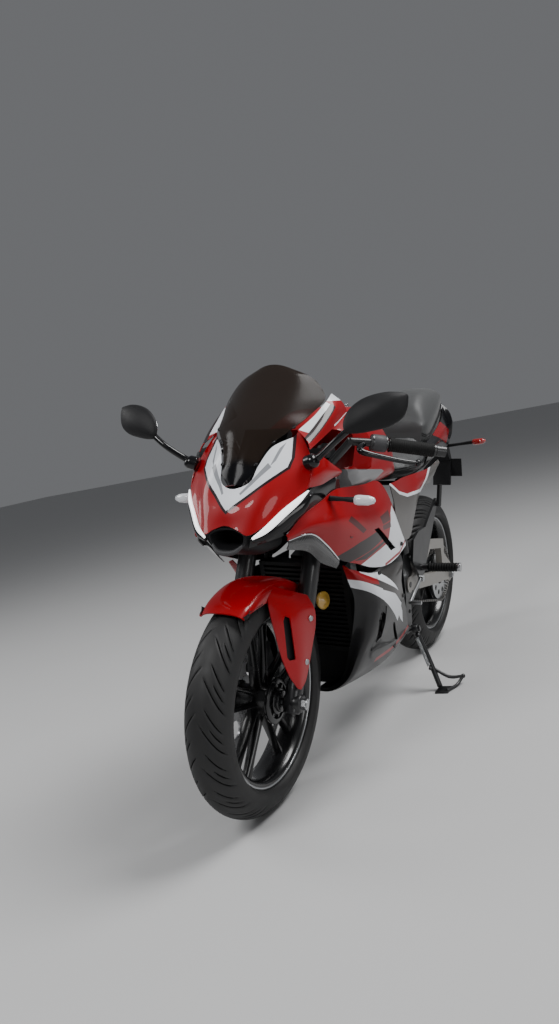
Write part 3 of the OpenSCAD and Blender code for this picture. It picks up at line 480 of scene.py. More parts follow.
def make_finishes():
    c = colours()
    nose_red()
    wing_red()
    side_red()
    lower_dark()
    tank_red()
    tail_black()
    tyre_rubber()
    seat_vinyl()
    screen_smoke()
    lens_finish("lamp_white", (0.9, 0.92, 0.96), 1.0, 1.6)
    lens_finish("lens_clear", (0.75, 0.77, 0.8), 0.9)
    lens_finish("lens_red", (0.30, 0.012, 0.012), 1.0)
    lens_finish("insert_smoke", (0.030, 0.030, 0.031), 1.0)
    lens_finish("gold_cap", (0.55, 0.33, 0.06), 1.0)
    cover = paint_finish("cover_silver", c.silver, roughness=0.36)
    for outline in ([(110, 800), (100, 772), (21, 732), (-77, 708), (-272, 694), (-581, 774),
                     (-600, 800), (-117, 820)],):
        cover.paint(cover.inside(outline), c.white)
    for outline in ([(110, 800), (100, 782), (21, 742), (-77, 718), (-268, 706), (-575, 782),
                     (-600, 800), (-117, 820)],):
        cover.paint(cover.inside(outline), c.red)
    FINISHES["cover_silver"] = cover
    for name, colour, roughness in (("red_paint", c.red, 0.3), ("black_gloss", c.black, 0.2),
                                    ("white_paint", c.white, 0.3)):
        FINISHES[name] = paint_finish(name, colour, roughness=roughness)
    # Near-black rubber for the faces deep in the tyre grooves: painted shade in the grooves, darker
    # than the tyre's own rubber
    FINISHES["groove_painted_shade"] = plastic_finish("groove_painted_shade", (0.002, 0.002, 0.002), 0.9)
    for name, colour, roughness in (("black_plastic", (0.008, 0.008, 0.009), 0.55),
                                    ("grey_plastic", (0.06, 0.06, 0.063), 0.5),
                                    ("grip_rubber", (0.006, 0.006, 0.006), 0.75),
                                    ("radiator_black", (0.003, 0.003, 0.0035), 0.5)):
        FINISHES[name] = plastic_finish(name, colour, roughness)
    for name, colour, roughness in (("frame_black", (0.006, 0.006, 0.007), 0.36),
                                    ("wheel_black", (0.004, 0.004, 0.0045), 0.2),
                                    ("engine_grey", (0.016, 0.016, 0.017), 0.5),
                                    ("exhaust_black", (0.010, 0.010, 0.011), 0.45),
                                    ("spring_red", (0.22, 0.01, 0.012), 0.35),
                                    ("swingarm_silver", (0.20, 0.19, 0.175), 0.4)):
        FINISHES[name] = coated_metal_finish(name, colour, roughness)
    for name, colour, roughness, grain in (
            ("chrome", (0.75, 0.76, 0.78), 0.08, (1, 1, 1)),
            ("disc_steel", (0.42, 0.42, 0.43), 0.26, (1, 30, 1)),
            ("chain_steel", (0.16, 0.155, 0.15), 0.4, (1, 1, 1)),
            ("alloy_silver", (0.45, 0.46, 0.47), 0.28, (1, 1, 1))):
        FINISHES[name] = metal_finish(name, colour, roughness, grain)


# ------------------------------------------------------------------ making pieces

def grid_of(rows, closed=False):
    """A bmesh whose grid of points follows rows of bike points, as one sheet or one tube."""
    bm = bmesh.new()
    wide, tall = len(rows[0]) + (1 if closed else 0), len(rows)
    bmesh.ops.create_grid(bm, x_segments=wide - 1, y_segments=tall - 1, size=1)
    order = sorted(bm.verts, key=lambda v: (round(v.co.y, 4), round(v.co.x, 4)))
    for index, vert in enumerate(order):
        row, column = divmod(index, wide)
        vert.co = place(rows[row][column % len(rows[0])])
    if closed:
        bmesh.ops.remove_doubles(bm, verts=bm.verts, dist=1e-6)
        bmesh.ops.holes_fill(bm, edges=[e for e in bm.edges if e.is_boundary], sides=0)
        bmesh.ops.recalc_face_normals(bm, faces=bm.faces)
    return bm


def face_out(bm, core=(0, 0, 600)):
    """Turns a sheet so that its faces look away from the bike's middle line."""
    bm.normal_update()
    total = 0
    for face in bm.faces:
        middle = UPRIGHT_TO_ROW.inverted() @ (face.calc_center_median() - PARK) * 1000
        away = Vector((0, middle.y, (middle.z - core[2]) * 0.6))
        normal = UPRIGHT_TO_ROW.inverted().to_3x3() @ face.normal
        total += away.dot(normal) * face.calc_area()
    if total < 0:
        bmesh.ops.reverse_faces(bm, faces=bm.faces)


def mirrored(bm):
    """Adds the other side of the bike to a mesh."""
    other = bm.copy()
    flip = (Matrix.Translation(PARK) @ UPRIGHT_TO_ROW @ Matrix.Scale(-1, 4, (0, 1, 0))
            @ UPRIGHT_TO_ROW.inverted() @ Matrix.Translation(-PARK))
    bmesh.ops.transform(other, matrix=flip, verts=other.verts)
    bmesh.ops.reverse_faces(other, faces=other.faces)
    return join(bm, other)


def join(bm, *others):
    """Adds meshes to the first one and returns it."""
    for other in others:
        mesh = bpy.data.meshes.new("part")
        other.to_mesh(mesh)
        other.free()
        bm.from_mesh(mesh)
        bpy.data.meshes.remove(mesh)
    return bm


def piece(name, bm, finishes, body, nodes=(), wall=0.0, edge=0.0):
    """Makes the object, gives it its finishes and modifiers, and rides it on a body."""
    mesh = bpy.data.meshes.new(name)
    bm.to_mesh(mesh)
    bm.free()
    obj = bpy.data.objects.new(name, mesh)
    bpy.context.collection.objects.link(obj)
    for finish in ([finishes] if isinstance(finishes, str) else finishes):
        mesh.materials.append(FINISHES[finish].material)
    for polygon in mesh.polygons:
        polygon.use_smooth = True
    if wall:
        skin = obj.modifiers.new("wall", "SOLIDIFY")
        skin.thickness, skin.offset, skin.use_even_offset = wall, -1, True
        skin.material_offset = len(mesh.materials) - 1
    if edge:
        rim = obj.modifiers.new("edge", "BEVEL")
        rim.width, rim.segments, rim.limit_method = edge, 2, "ANGLE"
        rim.angle_limit = math.radians(50)
        rim.harden_normals = True
    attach(obj, body)
    if nodes:
        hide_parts(*([nodes] if isinstance(nodes, str) else nodes))
    return obj


def tube(points, radius, sides=12, steps=6):
    """A smooth round tube through bike points; radius is a number or one per point."""
    radii = list(radius) if isinstance(radius, (list, tuple)) else [radius] * len(points)
    path, widths = [], []
    points = [Vector(p) for p in points]
    for i in range(len(points) - 1):
        before = points[max(i - 1, 0)]
        after = points[min(i + 2, len(points) - 1)]
        for k in range(steps):
            t = k / steps
            path.append(0.5 * ((2 * points[i]) + (points[i + 1] - before) * t
                               + (2 * before - 5 * points[i] + 4 * points[i + 1] - after) * t * t
                               + (3 * points[i] - before - 3 * points[i + 1] + after) * t ** 3))
            widths.append(radii[i] * (1 - t) + radii[i + 1] * t)
    path.append(points[-1])
    widths.append(radii[-1])
    rows, across = [], None
    for i, here in enumerate(path):
        ahead = (path[min(i + 1, len(path) - 1)] - path[max(i - 1, 0)]).normalized()
        if across is None:
            across = ahead.orthogonal()
        across = (across - ahead * across.dot(ahead)).normalized()
        up = ahead.cross(across)
        rows.append([here + (across * math.cos(a) + up * math.sin(a)) * widths[i]
                     for a in (2 * math.pi * k / sides for k in range(sides))])
    return grid_of(rows, closed=True)


def spun(profile, hub, steps=96):
    """A ring turned about a wheel's axle from (radius, sideways) points; closed outline."""
    bm = bmesh.new()
    verts = [bm.verts.new((radius / 1000, side / 1000, 0)) for radius, side in profile]
    edges = [bm.edges.new((a, b)) for a, b in zip(verts, verts[1:] + verts[:1])]
    bmesh.ops.spin(bm, geom=verts + edges, cent=(0, 0, 0), axis=(0, 1, 0), dvec=(0, 0, 0),
                   angle=2 * math.pi, steps=steps, use_merge=True)
    bmesh.ops.recalc_face_normals(bm, faces=bm.faces)
    bmesh.ops.transform(bm, matrix=hub_matrix(hub), verts=bm.verts)
    return bm


def hub_matrix(hub, turn=0.0):
    """Puts a shape drawn about the Y axis at a wheel's hub on the leaning bike."""
    return (Matrix.Translation(PARK) @ UPRIGHT_TO_ROW
            @ Matrix.Translation(Vector(hub) / 1000) @ Matrix.Rotation(turn, 4, "Y"))


def block(size, at, turn=Matrix(), bevel=1.5):
    """A rounded block of that size in millimetres, centred at a bike point."""
    bm = bmesh.new()
    bmesh.ops.create_cube(bm, size=0.001)
    bmesh.ops.scale(bm, vec=size, verts=bm.verts)
    if bevel:
        bmesh.ops.bevel(bm, geom=bm.edges[:], offset=bevel / 1000, segments=2, profile=0.5,
                        affect="EDGES", material=-1)
    matrix = (Matrix.Translation(PARK) @ UPRIGHT_TO_ROW
              @ Matrix.Translation(Vector(at) / 1000) @ turn)
    bmesh.ops.transform(bm, matrix=matrix, verts=bm.verts)
    return bm


def bolt(at, towards, radius=6, height=4):
    """A button-head bolt with a socket, looking towards a bike direction."""
    bm = bmesh.new()
    bmesh.ops.create_cone(bm, cap_ends=True, segments=20, radius1=radius / 1000,
                          radius2=radius * 0.86 / 1000, depth=height / 1000)
    top = max(bm.faces, key=lambda f: f.calc_center_median().z)
    bmesh.ops.inset_region(bm, faces=[top], thickness=radius * 0.45 / 1000)
    bmesh.ops.translate(bm, verts=top.verts[:], vec=(0, 0, -height * 0.5 / 1000))
    turn = Vector((0, 0, 1)).rotation_difference(Vector(towards)).to_matrix().to_4x4()
    matrix = (Matrix.Translation(PARK) @ UPRIGHT_TO_ROW
              @ Matrix.Translation(Vector(at) / 1000) @ turn)
    bmesh.ops.transform(bm, matrix=matrix, verts=bm.verts)
    return bm


def flow(points, steps, closed=False):
    """Points on a smooth curve through the given ones."""
    points = [Vector(p) for p in points]
    count, curve = len(points), []
    for i in range(count if closed else count - 1):
        b, c = points[i], points[(i + 1) % count]
        a = points[i - 1] if closed or i else 2 * b - c
        d = points[(i + 2) % count] if closed or i + 2 < count else 2 * c - b
        for k in range(steps):
            t = k / steps
            curve.append(0.5 * (2 * b + (c - a) * t + (2 * a - 5 * b + 4 * c - d) * t * t
                                + (3 * b - a - 3 * c + d) * t ** 3))
    return curve if closed else curve + [points[-1]]


def surface(rows, across=6, along=6, closed=False):
    """Rows of bike points made dense in both directions."""
    fine = [flow(row, across, closed) if across > 1 else [Vector(p) for p in row]
            for row in rows]
    columns = [flow(column, along) for column in zip(*fine)]
    return [list(row) for row in zip(*columns)]


def across_bike(rows):
    """Rows of the left half, tip row on the middle line first, continued over the right."""
    other = [[(p[0], -p[1], p[2]) for p in row] for row in rows[:0:-1]]
    return other + [list(row) for row in rows]


def body_ring(x, low_z, shoulder_z, top_z, low_w, shoulder_w, top_w):
    """The rounded section that the tank, seats and tail share."""
    left = [(low_w, low_z), (shoulder_w, shoulder_z),
            (shoulder_w * 0.82 + top_w * 0.18, shoulder_z + (top_z - shoulder_z) * 0.5),
            (top_w, top_z - (top_z - shoulder_z) * 0.08), (top_w * 0.45, top_z)]
    return [(x, -w, z) for w, z in left] + [(x, w, z) for w, z in reversed(left)]


def hull(sections, across=3, along=4):
    """A closed body through sections of named sizes."""
    rings = [body_ring(*section) for section in sections]
    return grid_of(surface(rings, across, along, closed=True), closed=True)


def carve(obj, cutter):
    """Cuts one mesh out of a piece and leaves no modifier behind."""
    mesh = bpy.data.meshes.new("cutter")
    cutter.to_mesh(mesh)
    cutter.free()
    tool = bpy.data.objects.new("cutter", mesh)
    bpy.context.collection.objects.link(tool)
    cut = obj.modifiers.new("cut", "BOOLEAN")
    cut.object, cut.operation, cut.solver = tool, "DIFFERENCE", "EXACT"
    settle(obj)
    bpy.data.objects.remove(tool)
    bpy.data.meshes.remove(mesh)


def settle(obj):
    """Turns a piece's modifiers into plain mesh."""
    obj.update_tag()
    bpy.context.view_layer.update()
    graph = bpy.context.evaluated_depsgraph_get()
    mesh = bpy.data.meshes.new_from_object(obj.evaluated_get(graph))
    old = obj.data
    obj.modifiers.clear()
    obj.data = mesh
    bpy.data.meshes.remove(old)


def cut_hole(bm, corners, side=1):
    """Opens a convex window, drawn from the side, in a sheet on that side of the bike."""
    middle = [sum(c[i] for c in corners) / len(corners) for i in (0, 1)]
    reach = max(math.dist(c, middle) for c in corners) * 1.3 / 1000
    to_bike = UPRIGHT_TO_ROW.inverted()
    planes = []
    for (a, b), (c, d) in zip(corners, corners[1:] + corners[:1]):
        across = Vector((b - d, 0, c - a)).normalized()
        if across.dot(Vector((middle[0] - a, 0, middle[1] - b))) < 0:
            across = -across
        planes.append((Vector((a, 0, b)) / 1000, across))

    def upright(co):
        return to_bike @ (co - PARK)

    def near(face):
        at = upright(face.calc_center_median())
        return at.y * side > 0 and math.dist((at.x, at.z),
                                             (middle[0] / 1000, middle[1] / 1000)) < reach + 0.03
    for at, across in planes:
        faces = [f for f in bm.faces if near(f)]
        edges = {e for f in faces for e in f.edges}
        verts = {v for f in faces for v in f.verts}
        bmesh.ops.bisect_plane(bm, geom=[*faces, *edges, *verts], dist=1e-6,
                               plane_co=UPRIGHT_TO_ROW @ at + PARK,
                               plane_no=UPRIGHT_TO_ROW.to_3x3() @ across)
    gone = []
    for face in bm.faces:
        at = upright(face.calc_center_median())
        if at.y * side > 0 and all((at - foot).dot(across) > 0 for foot, across in planes):
            gone.append(face)
    bmesh.ops.delete(bm, geom=gone, context="FACES")


def bar(start, end, radius, end_radius=None, sides=24, chamfer=1.0):
    """A straight round bar between two bike points."""
    start, end = Vector(start), Vector(end)
    long = (end - start).length
    bm = bmesh.new()
    bmesh.ops.create_cone(bm, cap_ends=True, segments=sides, radius1=radius / 1000,
                          radius2=(radius if end_radius is None else end_radius) / 1000,
                          depth=long / 1000)
    if chamfer:
        rims = [e for e in bm.edges if sum(len(f.verts) > 4 for f in e.link_faces) == 1]
        bmesh.ops.bevel(bm, geom=rims, offset=chamfer / 1000, segments=2, profile=0.5,
                        affect="EDGES", material=-1)
    turn = Vector((0, 0, 1)).rotation_difference(end - start).to_matrix().to_4x4()
    matrix = (Matrix.Translation(PARK) @ UPRIGHT_TO_ROW
              @ Matrix.Translation((start + end) / 2000) @ turn)
    bmesh.ops.transform(bm, matrix=matrix, verts=bm.verts)
    return bm


def turned_bar(profile, start, towards, steps=40):
    """A solid turned about a line: (distance along, radius) points from a bike point."""
    towards = Vector(towards).normalized()
    across = towards.orthogonal().normalized()
    up = towards.cross(across)
    start = Vector(start)
    rows = [[start + towards * far + (across * math.cos(a) + up * math.sin(a)) * max(wide, 0.05)
             for a in (2 * math.pi * k / steps for k in range(steps))] for far, wide in profile]
    return grid_of(rows, closed=True)


# ------------------------------------------------------------------ wheels

class BIKE_OT_tyres(bpy.types.Operator):
    """Builds both tyres with curved grooves that run along the lines of the mesh"""
    bl_idname = "bike.tyres"
    bl_label = "Tyres"

    def execute(self, context):
        self.tyre("front_tyre_tread", "front_tyre", FRONT_HUB, FRONT_R, FRONT_W, 44,
                  "front_wheel", -1)
        self.tyre("rear_tyre_tread", "rear_tyre", REAR_HUB, REAR_R, REAR_W, 58,
                  "rear_wheel", 1)
        return {"FINISHED"}

    def tyre(self, name, node, hub, radius, width, bead_half, body, sense):
        crown = width / 2
        pitches = round(2 * math.pi * radius / (sizes().groove_pitch * 1000))
        stops = (0, 0.02, 0.08, 0.10, 0.28, 0.5, 0.52, 0.58, 0.60, 0.78)
        deep = sizes().tread_depth * 1000
        low = math.asin((232 - (radius - crown)) / crown)
        steps = 44
        slots = [low + (math.pi - 2 * low) * k / steps for k in range(steps + 1)]
        rows = []
        for pitch in range(pitches):
            for stop, share in enumerate(stops):
                row = []
                for phi in slots:
                    up, side = math.sin(phi), math.cos(phi)
                    u = abs(side)
                    half = stop in ((1, 2) if side > 0 else (6, 7))
                    other = stop in ((6, 7) if side > 0 else (1, 2))
                    cut = 0
                    if up > 0.12:
                        start, end = ((0.12, 0.95) if pitch % 2 else (0.30, 0.88)) if half else (
                            0.52, 0.9)
                        if (half or (other and pitch % 2)) and start < u < end:
                            cut = deep * min(1, (u - start) / 0.07, (end - u) / 0.12)
                    grown = crown - cut
                    if -0.10 < up < -0.02 or 0.06 < up < 0.10:
                        grown += 0.7
                    sweep = sense * u ** 1.25 * 0.32
                    angle = 2 * math.pi * (pitch + share) / pitches + sweep
                    far = radius - crown + grown * up
                    row.append((hub[0] + far * math.cos(angle), grown * side,
                                hub[2] + far * math.sin(angle)))
                for far, side in ((226, -bead_half - 6), (222, -bead_half - 1.5),
                                  (229, -bead_half + 8), (232, 0), (229, bead_half - 8),
                                  (222, bead_half + 1.5), (226, bead_half + 6)):
                    angle = 2 * math.pi * (pitch + share) / pitches + sense * 0.31
                    row.append((hub[0] + far * math.cos(angle), side,
                                hub[2] + far * math.sin(angle)))
                rows.append(row)
        bm = grid_of(rows + rows[:1], closed=True)
        # Faces deep in the grooves take the second, darker rubber: painted shade in the grooves
        to_bike = UPRIGHT_TO_ROW.inverted()
        for face in bm.faces:
            at = to_bike @ (face.calc_center_median() - PARK) * 1000 - Vector(hub)
            ring = math.hypot(at.x, at.z) - (radius - crown)
            if ring > 8 and math.hypot(ring, at.y) < crown - deep * 0.45:
                face.material_index = 1
        piece(name, bm, ("tyre_rubber", "groove_painted_shade"), body, node)


class BIKE_OT_rims(bpy.types.Operator):
    """Builds both cast wheels with twin spokes, hubs and polished rim lines"""
    bl_idname = "bike.rims"
    bl_label = "Rims"

    def execute(self, context):
        self.rim("front_cast_rim", "front_rim", FRONT_HUB, 44, 69, "front_wheel", 20, -65)
        self.rim("rear_cast_rim", "rear_rim", REAR_HUB, 58, 100, "rear_wheel", 0, -84)
        return {"FINISHED"}

    def rim(self, name, node, hub, half, hub_half, body, start, disc_y):
        loop = [(227.5, half), (228, half - 1.5), (227, half - 3), (218, half - 5),
                (213, half - 14), (209, half * 0.3)]
        well = [(199, 0), (200, half * 0.45), (205, half - 6), (214, half - 0.5)]
        loop += [(r, -y) for r, y in reversed(loop)]
        loop += [(r, -y) for r, y in reversed(well)] + well[1:]
        bm = spun(loop, hub, 120)
        h = hub_half
        hub_loop = [(8.6, h), (26, h), (27.5, h - 2), (27.5, h - 10), (33, 24), (41, 14),
                    (41, -14), (34, -30), (34, disc_y + 12), (41.5, disc_y + 9),
                    (41.5, -h + 4), (39, -h), (8.6, -h)]
        join(bm, spun(hub_loop, hub, 72))
        for k in range(5):
            for side in (-1, 1):
                join(bm, self.spoke(hub, math.radians(start + 72 * k), side))
        join(bm, self.hub_ring(hub, half + 8 if body == "front_wheel" else 58))
        piece(name, bm, "wheel_black", body, node, edge=0.0008)
        lines = bmesh.new()
        for side in (-1, 1):
            join(lines, spun([(214.5, side * (half - 0.6)), (219, side * (half + 0.5)),
                              (222, side * (half + 0.5)), (222, side * (half - 0.9)),
                              (215, side * (half - 1.8))], hub, 120))
        for k in range(5):
            angle = math.radians(start + 36 + 72 * k)
            at = Vector((math.cos(angle), 0, math.sin(angle))) * 33
            join(lines, bolt(Vector(hub) + at + Vector((0, disc_y - 4, 0)), (0, -1, 0), 6, 5))
        piece(name + "_lines", lines, "alloy_silver", body)

    def hub_ring(self, hub, y):
        """The slotted ring on the left of a hub."""
        bm = spun([(44, y - 9), (58, y - 7), (60, y), (58, y + 3), (46, y + 5), (44, y + 1)],
                  hub, 96)
        join(bm, spun([(26, y - 12), (34, y - 12), (34, y + 6), (30, y + 9), (26, y + 9)],
                      hub, 72))
        for k in range(8):
            a = math.pi * k / 4
            turn = Matrix.Rotation(-a, 4, "Y")
            join(bm, block((16, 9, 8), Vector(hub) + Vector((39 * math.cos(a), y - 2,
                                                             39 * math.sin(a))), turn, 1))
        return bm

    def spoke(self, hub, angle, side):
        """One of a pair of spokes, from the hub out to the rim."""
        rows = []
        for share in (0, 0.12, 0.3, 0.5, 0.7, 0.88, 1):
            far = 30 + (205 - 30) * share
            aside = side * (12 + 21 * share ** 0.85)
            wide = 8.5 - 2.2 * math.sin(math.pi * share) + 3.5 * share ** 6
            deep = 17 - 6 * share + 3 * share ** 6
            section = [(wide, deep * 0.45), (wide * 0.62, deep), (-wide * 0.35, deep * 0.86),
                       (-wide, deep * 0.3), (-wide, -deep * 0.3), (-wide * 0.35, -deep * 0.86),
                       (wide * 0.62, -deep), (wide, -deep * 0.45)]
            rows.append([(hub[0] + far * math.cos(angle) - (aside + side * w) * math.sin(angle),
                          d, hub[2] + far * math.sin(angle) + (aside + side * w) * math.cos(angle))
                         for w, d in section])
        return grid_of(surface(rows, 1, 3), closed=True)


class BIKE_OT_chain(bpy.types.Operator):
    """Builds the drive chain link by link, with its front sprocket"""
    bl_idname = "bike.chain"
    bl_label = "Chain"

    def execute(self, context):
        small, big = Vector(COUNTERSHAFT), Vector((REAR_HUB[0], REAR_HUB[2]))
        (r1, r2), y = SPROCKET_RADII, CHAIN_Y
        line = big - small
        tilt = math.atan2(line.y, line.x)
        lean_in = math.asin((r2 - r1) / line.length)
        route = []
        a1 = tilt + math.pi / 2 + lean_in
        a2 = tilt - math.pi / 2 - lean_in
        for k in range(30):
            a = a1 + (a2 + 2 * math.pi - a1) * k / 29
            route.append(small + Vector((math.cos(a), math.sin(a))) * r1)
        for k in range(90):
            a = a2 + (a1 - a2) * k / 89
            route.append(big + Vector((math.cos(a), math.sin(a))) * r2)
        route.append(route[0])
        lengths = [0]
        for a, b in zip(route, route[1:]):
            lengths.append(lengths[-1] + (b - a).length)
        links = round(lengths[-1] / CHAIN_PITCH / 2) * 2
        step = lengths[-1] / links
        bm, i = bmesh.new(), 0
        ends = []
        for k in range(links + 1):
            want = min(k * step, lengths[-1])
            while i < len(lengths) - 2 and lengths[i + 1] < want:
                i += 1
            t = (want - lengths[i]) / (lengths[i + 1] - lengths[i])
            ends.append(route[i].lerp(route[i + 1], t))
        for k in range(links):
            a, b = ends[k], ends[k + 1]
            wide = 5.6 if k % 2 else 7.8
            for side in (-1, 1):
                join(bm, self.plate(a, b, y + side * wide))
            join(bm, bar((a.x, y - 7, a.y), (a.x, y + 7, a.y), 4, sides=8, chamfer=0))
        piece("chain_links", bm, "chain_steel", "chassis", "chain")
        gear = bmesh.new()
        join(gear, bar((small.x, y - 4, small.y), (small.x, y + 4, small.y), 32, sides=32))
        piece("front_sprocket", gear, "chain_steel", "chassis")
        return {"FINISHED"}

    def plate(self, a, b, y):
        along = (b - a).normalized()
        up = Vector((-along.y, along.x))
        outline = [a - along * 4 + up * 2, a + up * 4.6, (a + b) / 2 + up * 3.4, b + up * 4.6,
                   b + along * 4 + up * 2, b + along * 4 - up * 2, b - up * 4.6,
                   (a + b) / 2 - up * 3.4, a - up * 4.6, a - along * 4 - up * 2]
        rows = [[(p.x, y + d, p.y) for p in outline] for d in (-0.8, 0.8)]
        return grid_of(rows, closed=True)


class BIKE_OT_forks(bpy.types.Operator):
    """Builds the fork legs with chromed stanchions, and the axle's nut and lug"""
    bl_idname = "bike.forks"
    bl_label = "Forks"

    def execute(self, context):
        for side, name in ((1, "left"), (-1, "right")):
            y = side * LEG_SIDE

            def at(up, ahead=0.0, aside=0.0):
                return steer_point(AXLE_AHEAD + ahead, y + aside, up)
            bm = bar(at(AXLE_UP + 225), at(996), FORK_TUBE_R, sides=40)
            join(bm, bar(at(995), at(1004), 17, sides=6))
            join(bm, turned_bar([(0, 22), (2, 26.5), (16, 27), (20, 25)], at(AXLE_UP + 222),
                                Vector(at(900)) - Vector(at(800)), 40))
            join(bm, turned_bar([(0, 18), (3, 22), (70, 22.5), (82, 19.5)], at(AXLE_UP - 28),
                                Vector(at(900)) - Vector(at(800)), 40))
            lug = steer_point(AXLE_AHEAD, y + side * 4, AXLE_UP)
            join(bm, turned_bar([(-24, 9), (-24, 20), (-21, 23), (21, 23), (24, 20), (24, 9)],
                                lug, (0, 1, 0), 40))
            piece("fork_tube_" + name, bm, "frame_black", "steering", "fork_" + name,
                  edge=0.0006)
            chrome = bar(at(AXLE_UP + 48), at(AXLE_UP + 226), 18.5, sides=40)
            piece("fork_stanchion_" + name, chrome, "chrome", "steering")
        return {"FINISHED"}


# ------------------------------------------------------------------ bodywork tables
# glass edge, crest and outer edge of the nose, from the tip to the wing
NOSE = [
    [(734, 0, 856), (768, 0, 812), (780, 0, 774)],
    [(716, 40, 870), (754, 48, 818), (782, 34, 764)],
    [(690, 52, 906), (728, 84, 842), (778, 62, 752)],
    [(652, 74, 948), (688, 116, 866), (744, 98, 776)],
    [(604, 110, 968), (648, 144, 890), (700, 140, 818)],
    [(590, 120, 984), (616, 160, 916), (655, 170, 850)]]
CHEEK = [
    [(622, 158, 914), (640, 170, 880), (660, 168, 848)],
    [(590, 174, 918), (590, 182, 878), (600, 174, 846)],
    [(520, 176, 888), (518, 182, 870), (520, 174, 850)],
    [(470, 174, 868), (470, 178, 862), (470, 174, 856)]]
WING = [
    [(596, 118, 982), (610, 150, 956), (618, 160, 936)],
    [(530, 136, 1014), (548, 164, 990), (556, 172, 962)],
    [(476, 149, 1048), (474, 172, 1024), (484, 174, 984)],
    [(448, 151, 1064), (416, 166, 1040), (392, 169, 1012)]]
# edge x, half width, edge z, middle x, middle z
SCREEN = [
    (724, 18, 862, 728, 866), (706, 42, 888, 716, 892), (684, 50, 914, 702, 920),
    (646, 70, 954, 676, 958), (596, 108, 988, 646, 998), (536, 130, 1018, 606, 1036),
    (480, 146, 1052, 562, 1074), (466, 126, 1088, 524, 1108), (466, 96, 1114, 500, 1130),
    (472, 50, 1135, 480, 1148)]
# top edge, crease and low edge of the upper side fairing
UPPER = [
    [(712, 128, 742), (712, 132, 735), (710, 130, 728)],
    [(655, 152, 784), (652, 170, 755), (646, 162, 734)],
    [(590, 170, 806), (590, 194, 750), (588, 176, 694)],
    [(530, 180, 824), (534, 208, 742), (528, 184, 642)],
    [(450, 186, 820), (450, 217, 722), (440, 199, 610)],
    [(350, 190, 812), (350, 221, 704), (350, 201, 580)],
    [(250, 192, 806), (250, 217, 700), (242, 203, 560)],
    [(160, 192, 744), (152, 208, 664), (146, 203, 562)],
    [(80, 197, 618), (66, 202, 596), (59, 202, 580)]]
# front edge, lip, middle and rear edge of the lower fairing, from the top down
LOWER = [
    [(478, 168, 612), (462, 186, 600), (300, 196, 554), (80, 192, 556)],
    [(430, 160, 562), (400, 204, 552), (250, 211, 524), (78, 196, 526)],
    [(384, 158, 492), (340, 210, 482), (220, 215, 476), (90, 194, 476)],
    [(376, 146, 410), (350, 200, 412), (190, 200, 400), (30, 180, 400)],
    [(372, 128, 340), (368, 178, 345), (150, 178, 335), (-40, 162, 335)],
    [(370, 106, 265), (374, 140, 262), (100, 154, 262), (-95, 146, 270)],
    [(364, 66, 222), (364, 78, 214), (100, 118, 206), (-160, 128, 244)],
    [(350, 10, 206), (340, 10, 200), (104, 10, 190), (-150, 10, 206)]]
INSERT = [
    [(704, 129, 725), (704, 129, 716), (698, 120, 702)],
    [(646, 161, 731), (644, 162, 708), (632, 142, 684)],
    [(588, 175, 692), (584, 174, 668), (574, 152, 642)],
    [(530, 183, 640), (528, 181, 630), (522, 170, 616)]]
# x, top y and z, low y and z of the side covers
COVER = [(96, 172, 776, 186, 640), (20, 168, 774, 184, 590), (-60, 158, 772, 178, 584),
         (-140, 150, 768, 166, 628), (-268, 142, 762, 148, 690), (-470, 120, 752, 124, 700),
         (-640, 104, 762, 104, 738)]
# x, low z, edge z, low half width and edge half width of the tail's sides
TAIL_SIDE = [(-980, 842, 884, 60, 50), (-880, 800, 950, 82, 62), (-740, 786, 905, 92, 92),
             (-590, 772, 862, 100, 104), (-480, 766, 845, 104, 112)]
TAIL = [(-1000, 846, 858, 876, 44, 60, 34), (-950, 826, 868, 930, 58, 80, 36),
        (-880, 806, 876, 984, 72, 96, 34)]
TANK = [(-178, 776, 792, 822, 62, 80, 40), (-110, 776, 812, 872, 92, 112, 62),
        (-30, 782, 838, 948, 118, 138, 84), (70, 786, 858, 1002, 136, 158, 104),
        (180, 788, 862, 1013, 146, 172, 112), (300, 792, 856, 980, 150, 180, 108),
        (372, 800, 852, 930, 152, 178, 118), (417, 806, 842, 880, 152, 172, 140)]
RIDER_SEAT = [(-470, 757, 810, 866, 84, 98, 70), (-430, 756, 800, 846, 92, 116, 84),
              (-340, 752, 792, 818, 100, 130, 96), (-260, 748, 788, 808, 94, 124, 88),
              (-184, 748, 786, 812, 66, 80, 56)]
PILLION_SEAT = [(-868, 808, 978, 1002, 44, 56, 34), (-800, 798, 978, 1024, 50, 74, 50),
                (-690, 781, 952, 1030, 60, 98, 62), (-590, 766, 912, 1020, 60, 108, 66),
                (-510, 759, 880, 980, 60, 108, 70), (-476, 758, 890, 920, 60, 96, 66)]


def panel(name, rows, finish, nodes, across=6, along=6, pair=True, windows=(),
          wall=None, edge=0.0009):
    """A moulded panel through rows of bike points, with rounded edges."""
    bm = grid_of(surface(rows, across, along))
    face_out(bm)
    for window in windows:
        cut_hole(bm, window)
    if pair:
        mirrored(bm)
    return piece(name, bm, (finish, "black_plastic"), "chassis", nodes,
                 wall=sizes().panel_wall if wall is None else wall, edge=edge)


